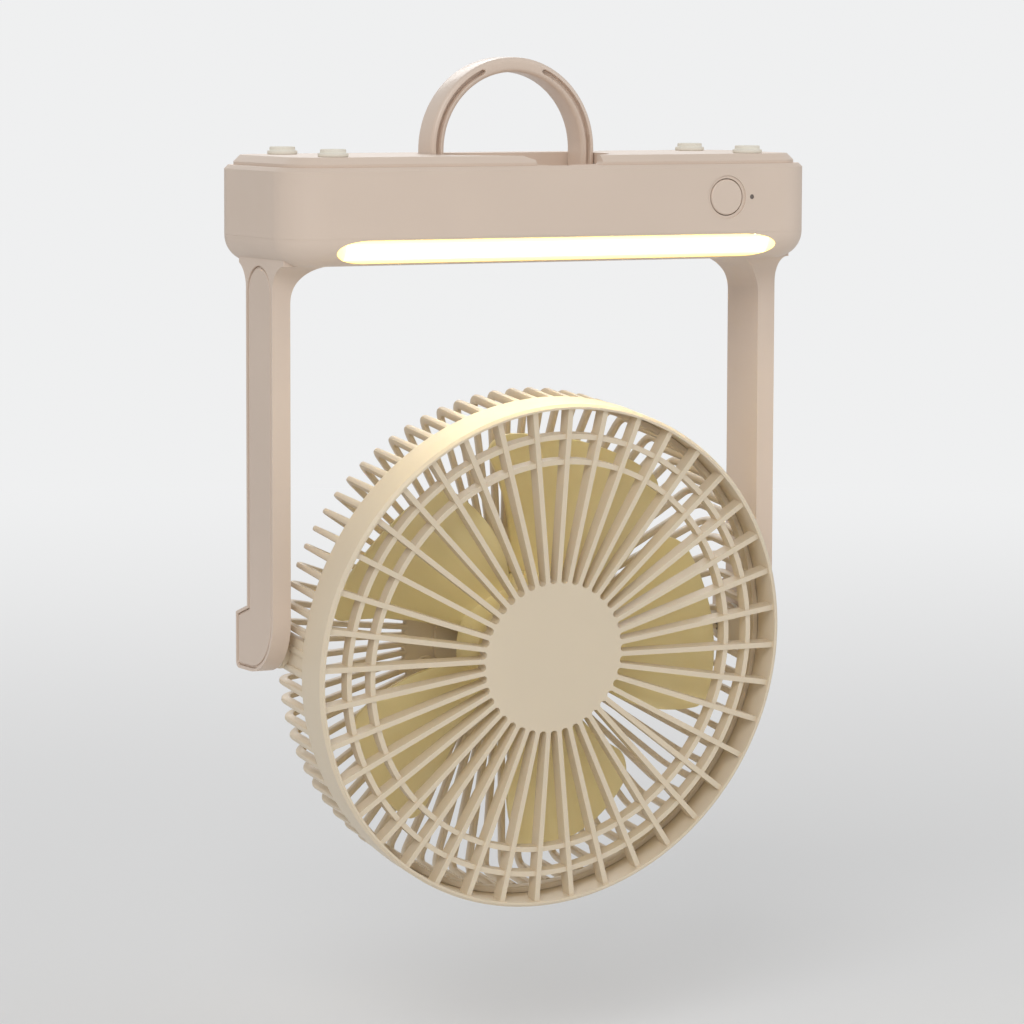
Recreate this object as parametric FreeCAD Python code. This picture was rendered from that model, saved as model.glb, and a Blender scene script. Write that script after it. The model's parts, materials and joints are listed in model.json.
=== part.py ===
import FreeCAD, Part
import math
import os

# Portable camping fan that hangs from a folding ring: a battery base on top, two arms
# and a tilting caged fan head with a light strip under the base.
# Millimetres. +X to the right, +Y to the back, +Z up, in the hanging pose.
# The shapes are drawn from the middle of the base's rim plane and moved at the end,
# so that the origin is the point of the ring where it hangs.

Vec = FreeCAD.Vector
to_back = FreeCAD.Vector(0, 1, 0)
upward = FreeCAD.Vector(0, 0, 1)

# Fan head
head_radius = 95.0
band_depth = 15.3
band_wall = 1.8
band_edge_bevel = 1.0
head_tilt_down = 7.0

# Front grille
spoke_count = 40
spoke_width = 2.0
spoke_depth = 5.5
spoke_setback = 1.2
spoke_phase = 0.4
grille_hub_radius = 28.7
gap_end_bevel = 0.8
grille_hub_wall = 2.2
grille_ring_insets = (10.5, 19.9)
grille_ring_width = 1.9
grille_ring_setback = 0.7

# Rear basket
rib_count = 80
rib_width = 2.0
rib_height = 2.8
rib_corner_radius = 6.0
rib_phase = 1.5
rib_overrun = 0.1
basket_inset = 0.8
basket_depth = 42.7
basket_cone = 1.4
basket_flange_wall = 2.2
basket_flange_depth = 1.8
basket_flange_lip = 0.4
basket_tongue = 3.0
basket_hub_radius = 42.0
basket_hub_wall = 3.2
motor_opening_radius = 20.0

# Impeller
blade_count = 5
blade_phase = 2.0
blade_tip_gap = 2.9
blade_thickness = 1.6
blade_middle_depth = 27.5
blade_depth = 28.5
blade_root_chord = 50.0
blade_chord_growth = 0.866
blade_span_angle = 58.0
blade_tip_round = 9.0
impeller_hub_radius = 26.5
impeller_hub_front = 9.6
impeller_hub_depth = 19.0
impeller_hub_wall = 1.8
impeller_nose_bevel = 2.0

# Motor
shaft_radius = 1.5
bearing_radius = 3.5
bearing_width = 2.5
running_gap = 0.05
rotor_can_radius = 22.0
rotor_can_wall = 1.2
rotor_can_depth = 13.0
magnet_wall = 2.2
stator_radius = 17.6
stator_depth = 8.0
stator_tooth_count = 9
bearing_tube_radius = 5.2
motor_flange_radius = 30.0
motor_flange_wall = 2.0
motor_lug_count = 3
motor_lug_radius = 5.0
motor_lug_circle = 34.5
motor_lug_phase = -40.0
motor_screw_radius = 1.4
rear_cap_radius = 29.0
rear_cap_height = 4.0
rear_cap_bevel = 2.5

# Arms and tilt pivot
arm_head_gap = 2.2
arm_thickness = 7.2
arm_width = 22.6
arm_middle_y = 0.7
arm_root_flare = 10.0
arm_root_fillet = 14.0
arm_reach = 140.6
pivot_y = 6.0
pivot_depth = 37.5
boot_below_pivot = 7.8
boot_step_height = 20.6
boot_back_reach = 9.8
boot_front_radius = 20.0
boot_back_radius = 2.5
boot_facet_rise = 3.2
cover_thickness = 1.3
cover_rim = 1.1
cover_groove = 0.9
cover_top_drop = 1.4
wire_channel_width = 7.0
wire_channel_floor = 2.2
lead_radius = 1.3
pivot_radius = 3.5
pivot_head_radius = 5.6
pivot_head_height = 1.4
pivot_bore_gap = 0.05
ear_radius = 7.0
ear_thickness = 5.0
washer_radius = 6.5
washer_gap = 0.1

# Base housing
end_overhang = 3.75
base_depth = 72.0
base_corner = 17.0
upper_height = 24.2
tray_height = 10.0
housing_wall = 2.2
housing_rim_rise = 1.0
housing_rim_bevel = 1.4
tray_wall = 2.0
tray_tongue = 2.6
tongue_gap = 0.1
cover_inset = 3.4
top_cover_height = 3.6
top_cover_bevel = 2.4
cover_seat_width = 3.2
cover_seat_depth = 2.6
cover_seat_ledge = 1.2

# Light strip
strip_end_inset = 18.15
strip_half_height = 4.15
strip_nose_length = 13.0
strip_top_drop = 0.7
strip_gap = 0.1
led_count = 18
led_board_wall = 1.0
led_board_width = 7.0

# Hanging ring and its pocket
ring_outer_radius = 34.0
ring_thickness = 5.5
ring_depth = 12.2
ring_apex_height = 40.0
ring_hinge_z = -1.5
ring_groove_width = 1.9
ring_groove_depth = 2.6
ring_groove_stop = 24.0
ring_scoop_half_angle = 21.0
ring_scoop = 1.6
ring_pin_radius = 1.5
ring_pin_reach = 4.0
pocket_gap = 0.4
pocket_land = 3.1
pocket_wall = 1.4
notch_left = -9.2
notch_right = 18.2
notch_floor = 1.3

# Feet
foot_end_inset = 22.75
foot_side_inset = 14.4
foot_base_radius = 5.5
foot_tip_radius = 4.65
foot_height = 2.8

# Power button, pilot light and charging socket
button_end_inset = 39.65
button_seat_gap = 0.6
button_radius = 6.6
button_gap = 0.3
button_travel = 0.8
button_depth = 3.4
button_flange = 1.2
pilot_spacing = 10.7
pilot_radius = 0.9
socket_end_inset = 48.15
socket_width = 9.2
socket_height = 3.4
socket_depth = 7.0

# Battery and boards
cell_radius = 9.2
cell_length = 65.0
cell_gap = 1.0
cradle_wall = 1.4
board_wall = 1.6
board_width = 34.0
board_height = 17.0
board_setback = 8.0
switch_size = 6.0
switch_height = 3.2
plunger_radius = 1.7
plunger_overlap = 0.5
screw_radius = 1.3
screw_head_radius = 2.6
screw_head_height = 1.6
screw_recess = 0.8
screw_sides = 8

# Places worked out from the sizes above
band_inner = head_radius - band_wall
arm_inner = head_radius + arm_head_gap
arm_outer = arm_inner + arm_thickness
base_width = 2 * (arm_outer + end_overhang)
parting_z = -upper_height
underside_z = parting_z - tray_height
pivot_z = underside_z - arm_reach
arm_front = arm_middle_y - arm_width / 2
arm_back = arm_middle_y + arm_width / 2
boot_back = arm_back + boot_back_reach
boot_bottom = pivot_z - boot_below_pivot
cover_bottom_z = housing_rim_rise
cover_top_z = cover_bottom_z + top_cover_height
front_y = -base_depth / 2
back_y = base_depth / 2
ring_centre_z = ring_apex_height - ring_outer_radius
ring_inner_radius = ring_outer_radius - ring_thickness
ring_hinge_y = front_y + pocket_land + pocket_gap + ring_apex_height - ring_hinge_z
hang_point = Vec(0, ring_hinge_y, ring_centre_z + ring_inner_radius)
basket_radius = head_radius - basket_inset
blade_tip_radius = basket_radius - rib_height - blade_tip_gap
blade_root_radius = impeller_hub_radius - 4.0
strip_half_length = base_width / 2 - strip_end_inset
foot_x = base_width / 2 - foot_end_inset
foot_y = base_depth / 2 - foot_side_inset
button_x = base_width / 2 - button_end_inset
seat_low_z = cover_bottom_z - cover_seat_depth - cover_seat_ledge
button_z = seat_low_z - button_seat_gap - button_flange - button_radius
pilot_x = button_x + pilot_spacing
socket_x = base_width / 2 - socket_end_inset


def box(x0, x1, y0, y1, z0, z1):
    """Block between two corners."""
    return Part.makeBox(x1 - x0, y1 - y0, z1 - z0, Vec(x0, y0, z0))


def rod(radius, start, direction, length):
    """Cylinder from a start point along a direction."""
    return Part.makeCylinder(radius, length, start, direction)


def tube(outer, inner, start, direction, length):
    """Cylinder with a bore."""
    return rod(outer, start, direction, length).cut(rod(inner, start, direction, length))


def screw_rod(radius, start, direction, length):
    """Many-sided rod inside a circle, across X, for small hidden screws and their holes."""
    across = direction.cross(Vec(1, 0, 0))
    points = []
    for i in range(screw_sides):
        turn = 2 * math.pi * i / screw_sides
        points.append(start + Vec(radius * math.cos(turn), 0, 0) + across * (radius * math.sin(turn)))
    return polygon(points).extrude(direction * length)


def line(a, b):
    """Straight edge."""
    return Part.LineSegment(a, b).toShape()


def arc(a, mid, b):
    """Circular edge through three points."""
    return Part.Arc(a, mid, b).toShape()


def polygon(points):
    """Face inside a closed run of straight edges."""
    return Part.Face(Part.makePolygon(points + [points[0]]))


def rounded_rectangle(width, depth, radius, z):
    """Face of a rounded rectangle about the Z axis."""
    corners = []
    for sx, sy, start in ((1, 1, 0), (-1, 1, 90), (-1, -1, 180), (1, -1, 270)):
        centre = Vec(sx * (width / 2 - radius), sy * (depth / 2 - radius), z)
        points = []
        for turn in (0, 45, 90):
            angle = math.radians(start + turn)
            points.append(centre + Vec(math.cos(angle), math.sin(angle), 0) * radius)
        corners.append(points)
    edges = []
    for i, points in enumerate(corners):
        edges.append(arc(*points))
        edges.append(line(points[2], corners[(i + 1) % 4][0]))
    return Part.Face(Part.Wire(edges))


def base_block(inset, z0, z1):
    """The base's plan, drawn in by an inset, between two heights."""
    face = rounded_rectangle(base_width - 2 * inset, base_depth - 2 * inset, base_corner - inset, z0)
    return face.extrude(Vec(0, 0, z1 - z0))


def edges_at_height(shape, z):
    """The edges that lie wholly at one height."""
    found = []
    for edge in shape.Edges:
        box_of_edge = edge.BoundBox
        if abs(box_of_edge.ZMin - z) < 1e-4 and abs(box_of_edge.ZMax - z) < 1e-4:
            found.append(edge)
    return found


def mirrored(shape):
    """The other side's copy, mirrored across X = 0."""
    return shape.mirror(Vec(0, 0, 0), Vec(1, 0, 0))


def spun(shape, degrees, centre=None, axis=None):
    """A copy turned about an axis, the fan's axis (Y) unless told otherwise."""
    copy = shape.copy()
    copy.rotate(centre or Vec(0, 0, 0), axis or to_back, degrees)
    return copy


def ring_of(profile_points, degrees=360):
    """A ring about the fan's axis, from points (radius, depth)."""
    face = polygon([Vec(r, d, 0) for r, d in profile_points])
    return face.revolve(Vec(0, 0, 0), to_back, degrees)


# Fan head, drawn upright with its rim at Y = 0 and its axis along Y

def bar_edge(radius, count, width):
    """Where the side of a radial bar meets a radius, seen from the middle of the next gap."""
    half_turn = math.pi / count
    along = math.sqrt(radius ** 2 - (width / 2) ** 2)
    return (along * math.cos(half_turn) + width / 2 * math.sin(half_turn),
            along * math.sin(half_turn) - width / 2 * math.cos(half_turn))


def spoke_gap(inner, outer, y0, y1):
    """The gap between two spokes at angle 0, with a bevelled inner end and a round outer one."""
    end_x, end_z = bar_edge(inner, spoke_count, spoke_width)
    end_z *= 0.45
    inner_x, inner_z = bar_edge(inner + gap_end_bevel, spoke_count, spoke_width)
    outer_x, outer_z = bar_edge(outer, spoke_count, spoke_width)
    wire = Part.Wire([
        line(Vec(inner_x, y0, -inner_z), Vec(outer_x, y0, -outer_z)),
        arc(Vec(outer_x, y0, -outer_z), Vec(outer, y0, 0), Vec(outer_x, y0, outer_z)),
        line(Vec(outer_x, y0, outer_z), Vec(inner_x, y0, inner_z)),
        line(Vec(inner_x, y0, inner_z), Vec(end_x, y0, end_z)),
        line(Vec(end_x, y0, end_z), Vec(end_x, y0, -end_z)),
        line(Vec(end_x, y0, -end_z), Vec(inner_x, y0, -inner_z)),
    ])
    return Part.Face(wire).extrude(Vec(0, y1 - y0, 0))


def front_grille():
    """Front shell: side band, forty spokes, two guard rings and the plain hub disc."""
    r = head_radius
    bevel = band_edge_bevel
    band = ring_of([
        (band_inner, band_depth), (band_inner, 0), (r - bevel, 0), (r, bevel), (r, band_depth),
    ])
    spoke_back = spoke_setback + spoke_depth
    disc = rod(band_inner + band_wall / 2, Vec(0, spoke_setback, 0), to_back, spoke_depth)
    gap = spoke_gap(grille_hub_radius + spoke_width, band_inner, spoke_setback - 1, spoke_back + 1)
    pitch = 360.0 / spoke_count
    gaps = [spun(gap, spoke_phase + pitch * (i + 0.5)) for i in range(spoke_count)]
    hollow = rod(grille_hub_radius - 1, Vec(0, spoke_setback + grille_hub_wall, 0), to_back, spoke_depth)
    spokes = disc.cut(gaps + [hollow])
    rings = []
    for inset in grille_ring_insets:
        radius = band_inner - inset
        y0 = spoke_setback + grille_ring_setback
        half = grille_ring_width / 2
        rings.append(tube(radius + half, radius - half, Vec(0, y0, 0), to_back, spoke_back - y0))
    return band.fuse([spokes] + rings).removeSplitter()


def hub_back_depth():
    """Depth of the basket's rear face at its hub."""
    return basket_depth + basket_cone


def pivot_ear():
    """The right side's solid ear, which carries the tilt shaft."""
    outer_x = head_radius + basket_flange_lip
    inner_x = outer_x - ear_thickness
    post = rod(ear_radius, Vec(inner_x, pivot_depth, 0), Vec(1, 0, 0), ear_thickness)
    web = box(inner_x, head_radius - 1.6, band_depth, pivot_depth, -ear_radius, ear_radius)
    return post.fuse(web)


def basket_rib():
    """One rib in the plane Z = 0: back from the flange, round the corner and in onto the hub."""
    rib_inside = basket_radius - rib_height
    start = band_depth + basket_flange_depth / 2
    corner_r = basket_radius - rib_corner_radius
    corner_y = basket_depth - rib_corner_radius
    corner_mid = rib_corner_radius * math.sqrt(0.5)
    end_r = basket_hub_radius - 1.0
    back = hub_back_depth()
    outline = [
        (basket_radius, start), (basket_radius, corner_y), (corner_r + corner_mid, corner_y + corner_mid),
        (corner_r, basket_depth), (end_r, back + rib_overrun), (end_r, back - basket_hub_wall - rib_overrun),
        (corner_r, basket_depth - rib_height), (rib_inside, corner_y), (rib_inside, start),
    ]
    face = polygon([Vec(r, y, -rib_width / 2) for r, y in outline])
    return face.extrude(Vec(0, 0, rib_width))


def rear_basket():
    """Rear shell: flange, eighty ribs round the corner to the hub with the motor opening, two ears."""
    tongue_out = band_inner - tongue_gap
    inside = band_inner - basket_flange_wall
    flange_out = basket_radius + basket_flange_lip
    flange = ring_of([
        (inside, band_depth - basket_tongue), (tongue_out, band_depth - basket_tongue),
        (tongue_out, band_depth), (flange_out, band_depth),
        (flange_out, band_depth + basket_flange_depth), (inside, band_depth + basket_flange_depth),
    ])
    hub = tube(basket_hub_radius, motor_opening_radius, Vec(0, hub_back_depth() - basket_hub_wall, 0),
               to_back, basket_hub_wall)
    rib = basket_rib()
    pitch = 360.0 / rib_count
    ribs = [spun(rib, rib_phase + pitch * i) for i in range(rib_count)]
    body = flange.fuse([hub] + ribs)
    right = pivot_ear()
    body = body.fuse([right, mirrored(right)])
    bores = []
    for side in (1, -1):
        start = Vec(side * (head_radius - ear_thickness - 4), pivot_depth, 0)
        bores.append(rod(pivot_radius + 0.02, start, Vec(side, 0, 0), ear_thickness + 8))
    for place in motor_screw_places():
        bores.append(screw_rod(motor_screw_radius, place - Vec(0, 10, 0), to_back, 20))
    return body.cut(bores).removeSplitter()


def motor_screw_places():
    """Where the motor flange's screws stand, at the basket hub's inner face."""
    y = hub_back_depth() - basket_hub_wall
    places = []
    for i in range(motor_lug_count):
        angle = math.radians(motor_lug_phase + 360.0 / motor_lug_count * i)
        places.append(Vec(motor_lug_circle * math.cos(angle), y, motor_lug_circle * math.sin(angle)))
    return places


def motor_flange():
    """Motor mount: round flange with screw lugs and the bearing tube."""
    y1 = hub_back_depth() - basket_hub_wall
    y0 = y1 - motor_flange_wall
    plate = rod(motor_flange_radius, Vec(0, y0, 0), to_back, motor_flange_wall)
    lugs = []
    for place in motor_screw_places():
        lugs.append(rod(motor_lug_radius, Vec(place.x, y0, place.z), to_back, motor_flange_wall))
    tube_front = stator_front() - 1.5
    sleeve = rod(bearing_tube_radius, Vec(0, tube_front, 0), to_back, y1 - tube_front)
    boss = rod(motor_opening_radius - 0.3, Vec(0, y1, 0), to_back, basket_hub_wall)
    body = plate.fuse(lugs + [sleeve, boss])
    bore = rod(bearing_radius, Vec(0, tube_front - 1, 0), to_back, y1 - tube_front + 1)
    holes = []
    for place in motor_screw_places():
        holes.append(screw_rod(motor_screw_radius, Vec(place.x, y0 - 1, place.z), to_back, 10))
    return body.cut([bore] + holes)


def can_front():
    """Depth of the rotor can's front face, against the impeller hub's inside."""
    return impeller_hub_front + impeller_hub_wall


def stator_front():
    """Depth of the stator stack's front face."""
    return can_front() + rotor_can_wall + 2.6


def motor_stator():
    """Laminated star of teeth with a ring of windings, on the bearing tube."""
    y0 = stator_front()
    core = rod(8.5, Vec(0, y0, 0), to_back, stator_depth)
    parts = []
    for i in range(stator_tooth_count):
        shoe = box(stator_radius - 2.4, stator_radius - 0.6, y0, y0 + stator_depth, -4.2, 4.2)
        winding = box(7.5, stator_radius - 2.4, y0 - 1.0, y0 + stator_depth + 1.0, -2.7, 2.7)
        parts.append(spun(winding.fuse(shoe), 360.0 / stator_tooth_count * i))
    body = core.fuse(parts)
    return body.cut(rod(bearing_tube_radius + 0.02, Vec(0, y0 - 2, 0), to_back, stator_depth + 4))


def bearing_places():
    """Front depths of the two bearings inside the tube."""
    front = stator_front() - 1.5
    back = hub_back_depth() - basket_hub_wall - bearing_width - 1.5
    return front, back


def motor_bearings():
    """Two small bearings pressed into the tube."""
    rings = []
    for y in bearing_places():
        rings.append(tube(bearing_radius, shaft_radius + running_gap, Vec(0, y, 0), to_back, bearing_width))
    return Part.makeCompound(rings)


def motor_shaft():
    """Steel shaft from the impeller's nose to behind the rear bearing."""
    y0 = impeller_hub_front - 1.6
    y1 = hub_back_depth() - basket_hub_wall - 0.6
    return rod(shaft_radius, Vec(0, y0, 0), to_back, y1 - y0)


def rotor_can():
    """Steel cup around the stator, with the collar that grips the shaft."""
    y0 = can_front()
    cup = rod(rotor_can_radius, Vec(0, y0, 0), to_back, rotor_can_depth)
    hollow = rod(rotor_can_radius - rotor_can_wall, Vec(0, y0 + rotor_can_wall, 0), to_back, rotor_can_depth)
    collar = rod(3.2, Vec(0, y0, 0), to_back, rotor_can_wall + 1.0)
    bore = rod(shaft_radius, Vec(0, y0 - 1, 0), to_back, rotor_can_depth)
    return cup.cut(hollow).fuse(collar).cut(bore)


def rotor_magnet():
    """Ring magnet inside the can."""
    outer = rotor_can_radius - rotor_can_wall
    y0 = can_front() + rotor_can_wall
    return tube(outer, outer - magnet_wall, Vec(0, y0, 0), to_back, rotor_can_depth - rotor_can_wall)


def blade_section(x, camber, middle_angle):
    """Thin cambered section across one blade, in a plane at distance x from the axis."""
    chord = blade_root_chord + blade_chord_growth * (x - blade_root_radius)
    pitch = math.asin(blade_depth / chord)
    along = Vec(0, math.sin(pitch), math.cos(pitch))
    normal = Vec(0, math.cos(pitch), -math.sin(pitch))
    half = blade_thickness / 2
    z_shift = x * math.tan(math.radians(middle_angle))
    middle = Vec(x, blade_middle_depth, z_shift)

    def at(s, offset):
        lift = camber * (1 - s * s)
        return middle + along * (s * chord / 2) + normal * (offset - lift)

    return Part.Wire([
        arc(at(-1, half), at(0, half), at(1, half)),
        line(at(1, half), at(1, -half)),
        arc(at(1, -half), at(0, -half), at(-1, -half)),
        line(at(-1, -half), at(-1, half)),
    ])


def blade_outline():
    """The blade's shape seen from the front: a broad scimitar with round tip corners."""
    tip = blade_tip_radius
    span = math.radians(blade_span_angle)
    lead_root, lead_tip = 0.50 * span, 0.56 * span
    trail_root, trail_tip = -0.42 * span, -0.30 * span

    def at(radius, angle):
        return Vec(radius * math.cos(angle), 0, radius * math.sin(angle))

    root = impeller_hub_radius - 2.0
    wire = Part.Wire([
        arc(at(root, trail_root), at(root, 0), at(root, lead_root)),
        arc(at(root, lead_root), at(0.62 * tip, lead_root * 0.93), at(tip, lead_tip)),
        arc(at(tip, lead_tip), at(tip, 0), at(tip, trail_tip)),
        arc(at(tip, trail_tip), at(0.72 * tip, trail_root * 1.02), at(root, trail_root)),
    ])
    outline = Part.Face(wire).extrude(Vec(0, 60, 0))
    corners = [e for e in outline.Edges if e.BoundBox.YLength > 50
               and math.hypot(e.CenterOfMass.x, e.CenterOfMass.z) > tip - 1]
    return outline.makeFillet(blade_tip_round, corners)


def impeller_blade():
    """One twisted, cambered blade about the +X direction."""
    sections = [
        blade_section(blade_root_radius, 3.0, 0.0),
        blade_section(0.62 * blade_tip_radius, 5.0, 2.0),
        blade_section(blade_tip_radius + 1.0, 6.0, 5.0),
    ]
    slab = Part.makeLoft(sections, True, False)
    return slab.common(blade_outline())


def impeller():
    """Cup hub with five broad blades."""
    y0 = impeller_hub_front
    r = impeller_hub_radius
    cup = rod(r, Vec(0, y0, 0), to_back, impeller_hub_depth)
    nose = [e for e in cup.Edges if abs(e.CenterOfMass.y - y0) < 1e-6 and e.Length > r]
    cup = cup.makeChamfer(impeller_nose_bevel, nose)
    pitch = 360.0 / blade_count
    blade = impeller_blade()
    blades = [spun(blade, blade_phase + pitch * i) for i in range(blade_count)]
    body = cup.fuse(blades)
    hollow = rod(rotor_can_radius + 0.02, Vec(0, can_front(), 0), to_back, impeller_hub_depth)
    bore = rod(shaft_radius, Vec(0, y0 - 1, 0), to_back, 6)
    return body.cut([hollow, bore])


def shaft_clip():
    """Push-on clip that holds the impeller on its shaft."""
    return tube(4.0, shaft_radius, Vec(0, impeller_hub_front - 1.2, 0), to_back, 1.2)


def rear_cap():
    """Low bevelled cap over the motor opening behind the basket."""
    y0 = hub_back_depth()
    r = rear_cap_radius
    bevel = rear_cap_bevel
    face = polygon([
        Vec(0, y0, 0), Vec(r, y0, 0), Vec(r, y0 + rear_cap_height - bevel, 0),
        Vec(r - 1.5 * bevel, y0 + rear_cap_height, 0), Vec(0, y0 + rear_cap_height, 0),
    ])
    return face.revolve(Vec(0, 0, 0), to_back, 360)


def motor_screws():
    """Three screws through the basket's hub into the motor flange."""
    screws = []
    for place in motor_screw_places():
        y = hub_back_depth()
        reach = basket_hub_wall + motor_flange_wall
        shank = screw_rod(motor_screw_radius - 0.02, Vec(place.x, y - reach, place.z), to_back, reach)
        head = screw_rod(screw_head_radius, Vec(place.x, y, place.z), to_back, screw_head_height)
        screws.append(shank.fuse(head))
    return Part.makeCompound(screws)


def pivot_shaft():
    """The right side's tilt shaft, from the ear through the arm to its head in the boot."""
    start = head_radius + 0.4 - ear_thickness
    floor_x = arm_inner + wire_channel_floor
    length = floor_x + 0.6 - start
    shank = rod(pivot_radius, Vec(start, pivot_depth, 0), Vec(1, 0, 0), length)
    head = rod(pivot_head_radius, Vec(start + length, pivot_depth, 0), Vec(1, 0, 0), pivot_head_height)
    return shank.fuse(head)


def friction_washer():
    """Plain washer between the right ear and the arm."""
    start = head_radius + 0.4
    width = arm_inner - washer_gap - start
    return tube(washer_radius, pivot_radius + 0.02, Vec(start, pivot_depth, 0), Vec(1, 0, 0), width)


def head_to_pose(shape):
    """Tilt the upright head down about its pivot and hang it between the arms."""
    placed = shape.copy()
    placed.translate(Vec(0, -pivot_depth, 0))
    placed.rotate(Vec(0, 0, 0), Vec(1, 0, 0), head_tilt_down)
    placed.translate(Vec(0, pivot_y, pivot_z))
    return placed


# Base

def pocket_outline(grow, z0, z1):
    """D-shaped space of the folded ring, grown by a margin."""
    r = ring_outer_radius + pocket_gap + grow
    y_back = ring_hinge_y + ring_depth / 2 + pocket_gap + 0.6 + grow
    y_centre = ring_hinge_y - (ring_centre_z - ring_hinge_z)
    wire = Part.Wire([
        line(Vec(-r, y_back, z0), Vec(r, y_back, z0)),
        line(Vec(r, y_back, z0), Vec(r, y_centre, z0)),
        arc(Vec(r, y_centre, z0), Vec(0, y_centre - r, z0), Vec(-r, y_centre, z0)),
        line(Vec(-r, y_centre, z0), Vec(-r, y_back, z0)),
    ])
    return Part.Face(wire).extrude(Vec(0, 0, z1 - z0))


def pocket_floor_z():
    """Floor of the ring's pocket."""
    return ring_hinge_z - ring_depth / 2 - pocket_gap


def top_cover():
    """Cover plate with its seat rim, the ring's pocket, hinge holes and the finger notch."""
    plate = base_block(cover_inset, cover_bottom_z, cover_top_z)
    plate = plate.makeChamfer(top_cover_bevel, edges_at_height(plate, cover_top_z))
    seat_inset = housing_wall + cover_seat_width + tongue_gap
    seat = base_block(seat_inset, cover_bottom_z - cover_seat_depth, cover_bottom_z)
    seat = seat.cut(base_block(seat_inset + 1.6, cover_bottom_z - cover_seat_depth - 1, cover_bottom_z))
    floor = pocket_floor_z()
    room = base_block(housing_wall + tongue_gap, floor - pocket_wall - 1, cover_bottom_z)
    tub = pocket_outline(pocket_wall, floor - pocket_wall, cover_bottom_z).common(room)
    bosses = []
    for side in (1, -1):
        x0 = side * (ring_outer_radius + pocket_gap)
        bosses.append(rod(4.0, Vec(x0, ring_hinge_y, ring_hinge_z), Vec(side, 0, 0), ring_pin_reach + 1.5))
    body = plate.fuse([seat, tub] + bosses)
    cuts = [pocket_outline(0, floor, cover_top_z + 1)]
    notch_back = ring_hinge_y - ring_inner_radius
    notch = box(notch_left, notch_right, front_y, notch_back, notch_floor, cover_top_z + 1)
    corner_edges = [e for e in notch.Edges if e.BoundBox.YLength > 5 and e.BoundBox.ZLength < 1e-6
                    and abs(e.CenterOfMass.z - notch_floor) < 1e-6]
    cuts.append(notch.makeFillet(1.2, corner_edges))
    for side in (1, -1):
        start = Vec(side * (ring_outer_radius - 1), ring_hinge_y, ring_hinge_z)
        cuts.append(rod(ring_pin_radius, start, Vec(side, 0, 0), ring_pin_reach + 1 + pocket_gap))
    return body.cut(cuts).removeSplitter()


def front_hole_places():
    """Middles of the button and of the pilot light on the front wall."""
    return Vec(button_x, front_y, button_z), Vec(pilot_x, front_y, button_z)


def upper_housing():
    """Upper casing: upright wall with a bevelled rim, a seat for the cover and the wall's holes."""
    outer = base_block(0, parting_z, housing_rim_rise)
    outer = outer.makeChamfer(housing_rim_bevel, edges_at_height(outer, housing_rim_rise))
    seat_inset = housing_wall + cover_seat_width
    cavity = base_block(housing_wall, parting_z - 1, seat_low_z)
    opening = base_block(seat_inset, parting_z - 1, housing_rim_rise + 1)
    room = pocket_outline(pocket_wall + 0.15, pocket_floor_z() - pocket_wall - 1, housing_rim_rise + 1)
    room = room.common(base_block(housing_wall, parting_z, housing_rim_rise + 1))
    button, pilot = front_hole_places()
    holes = [
        rod(button_radius + button_gap, button - to_back, to_back, housing_wall + 2),
        rod(pilot_radius, pilot - to_back, to_back, housing_wall + 2),
        socket_hole(0.15, back_y - housing_wall - 1, back_y + 1),
    ]
    groove = tube(button_radius + button_gap + 1.1, button_radius + button_gap, button - to_back,
                  to_back, 1.5)
    return outer.cut([cavity, opening, room, groove] + holes).removeSplitter()


def socket_hole(grow, y0, y1):
    """Round-ended slot of the charging socket, along Y."""
    r = socket_height / 2 + grow
    half = (socket_width - socket_height) / 2
    slot = box(socket_x - half, socket_x + half, y0, y1, button_z - r, button_z + r)
    ends = [rod(r, Vec(socket_x + s * half, y0, button_z), to_back, y1 - y0) for s in (1, -1)]
    return slot.fuse(ends)


def charging_port():
    """Socket shell with its contact tongue, set in the back wall."""
    y1 = back_y - 0.3
    y0 = y1 - socket_depth
    shell = socket_hole(0, y0, y1).cut(socket_hole(-0.4, y0 + 1.2, y1 + 1))
    tongue = box(socket_x - 3.2, socket_x + 3.2, y0 + 1, y1 - 1.2, button_z - 0.35, button_z + 0.35)
    return shell.fuse(tongue)


def tray_edge_radius():
    """Radius of the lower casing's big round edge, almost its full height."""
    return tray_height - 0.1


def tray_form():
    """Outer form of the lower casing, with its big round lower edge."""
    block = base_block(0, underside_z, parting_z)
    return block.makeFillet(tray_edge_radius(), edges_at_height(block, underside_z))


def tray_room(inset):
    """Space inside the lower casing at a wall's distance, with a flat seat for the light board."""
    block = base_block(inset, underside_z + inset, parting_z)
    flat = 0.66 * (tray_edge_radius() - inset)
    return block.makeChamfer(flat, edges_at_height(block, underside_z + inset))


def strip_prism(grow, y0, y1):
    """The light strip's outline on the front: long, with drawn-out round noses."""
    h = strip_half_height + grow
    length = strip_half_length + grow
    nose = strip_nose_length
    z = parting_z - strip_top_drop - strip_half_height
    body = box(-length + nose, length - nose, y0, y1, z - h, z + h)
    ends = []
    for side in (1, -1):
        ellipse = Part.Ellipse(Vec(side * (length - nose), y0, z), nose, h)
        ellipse.Axis = Vec(0, -1, 0)
        ellipse.XAxis = Vec(1, 0, 0)
        ends.append(Part.Face(Part.Wire([ellipse.toShape()])).extrude(Vec(0, y1 - y0, 0)))
    return body.fuse(ends)


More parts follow.
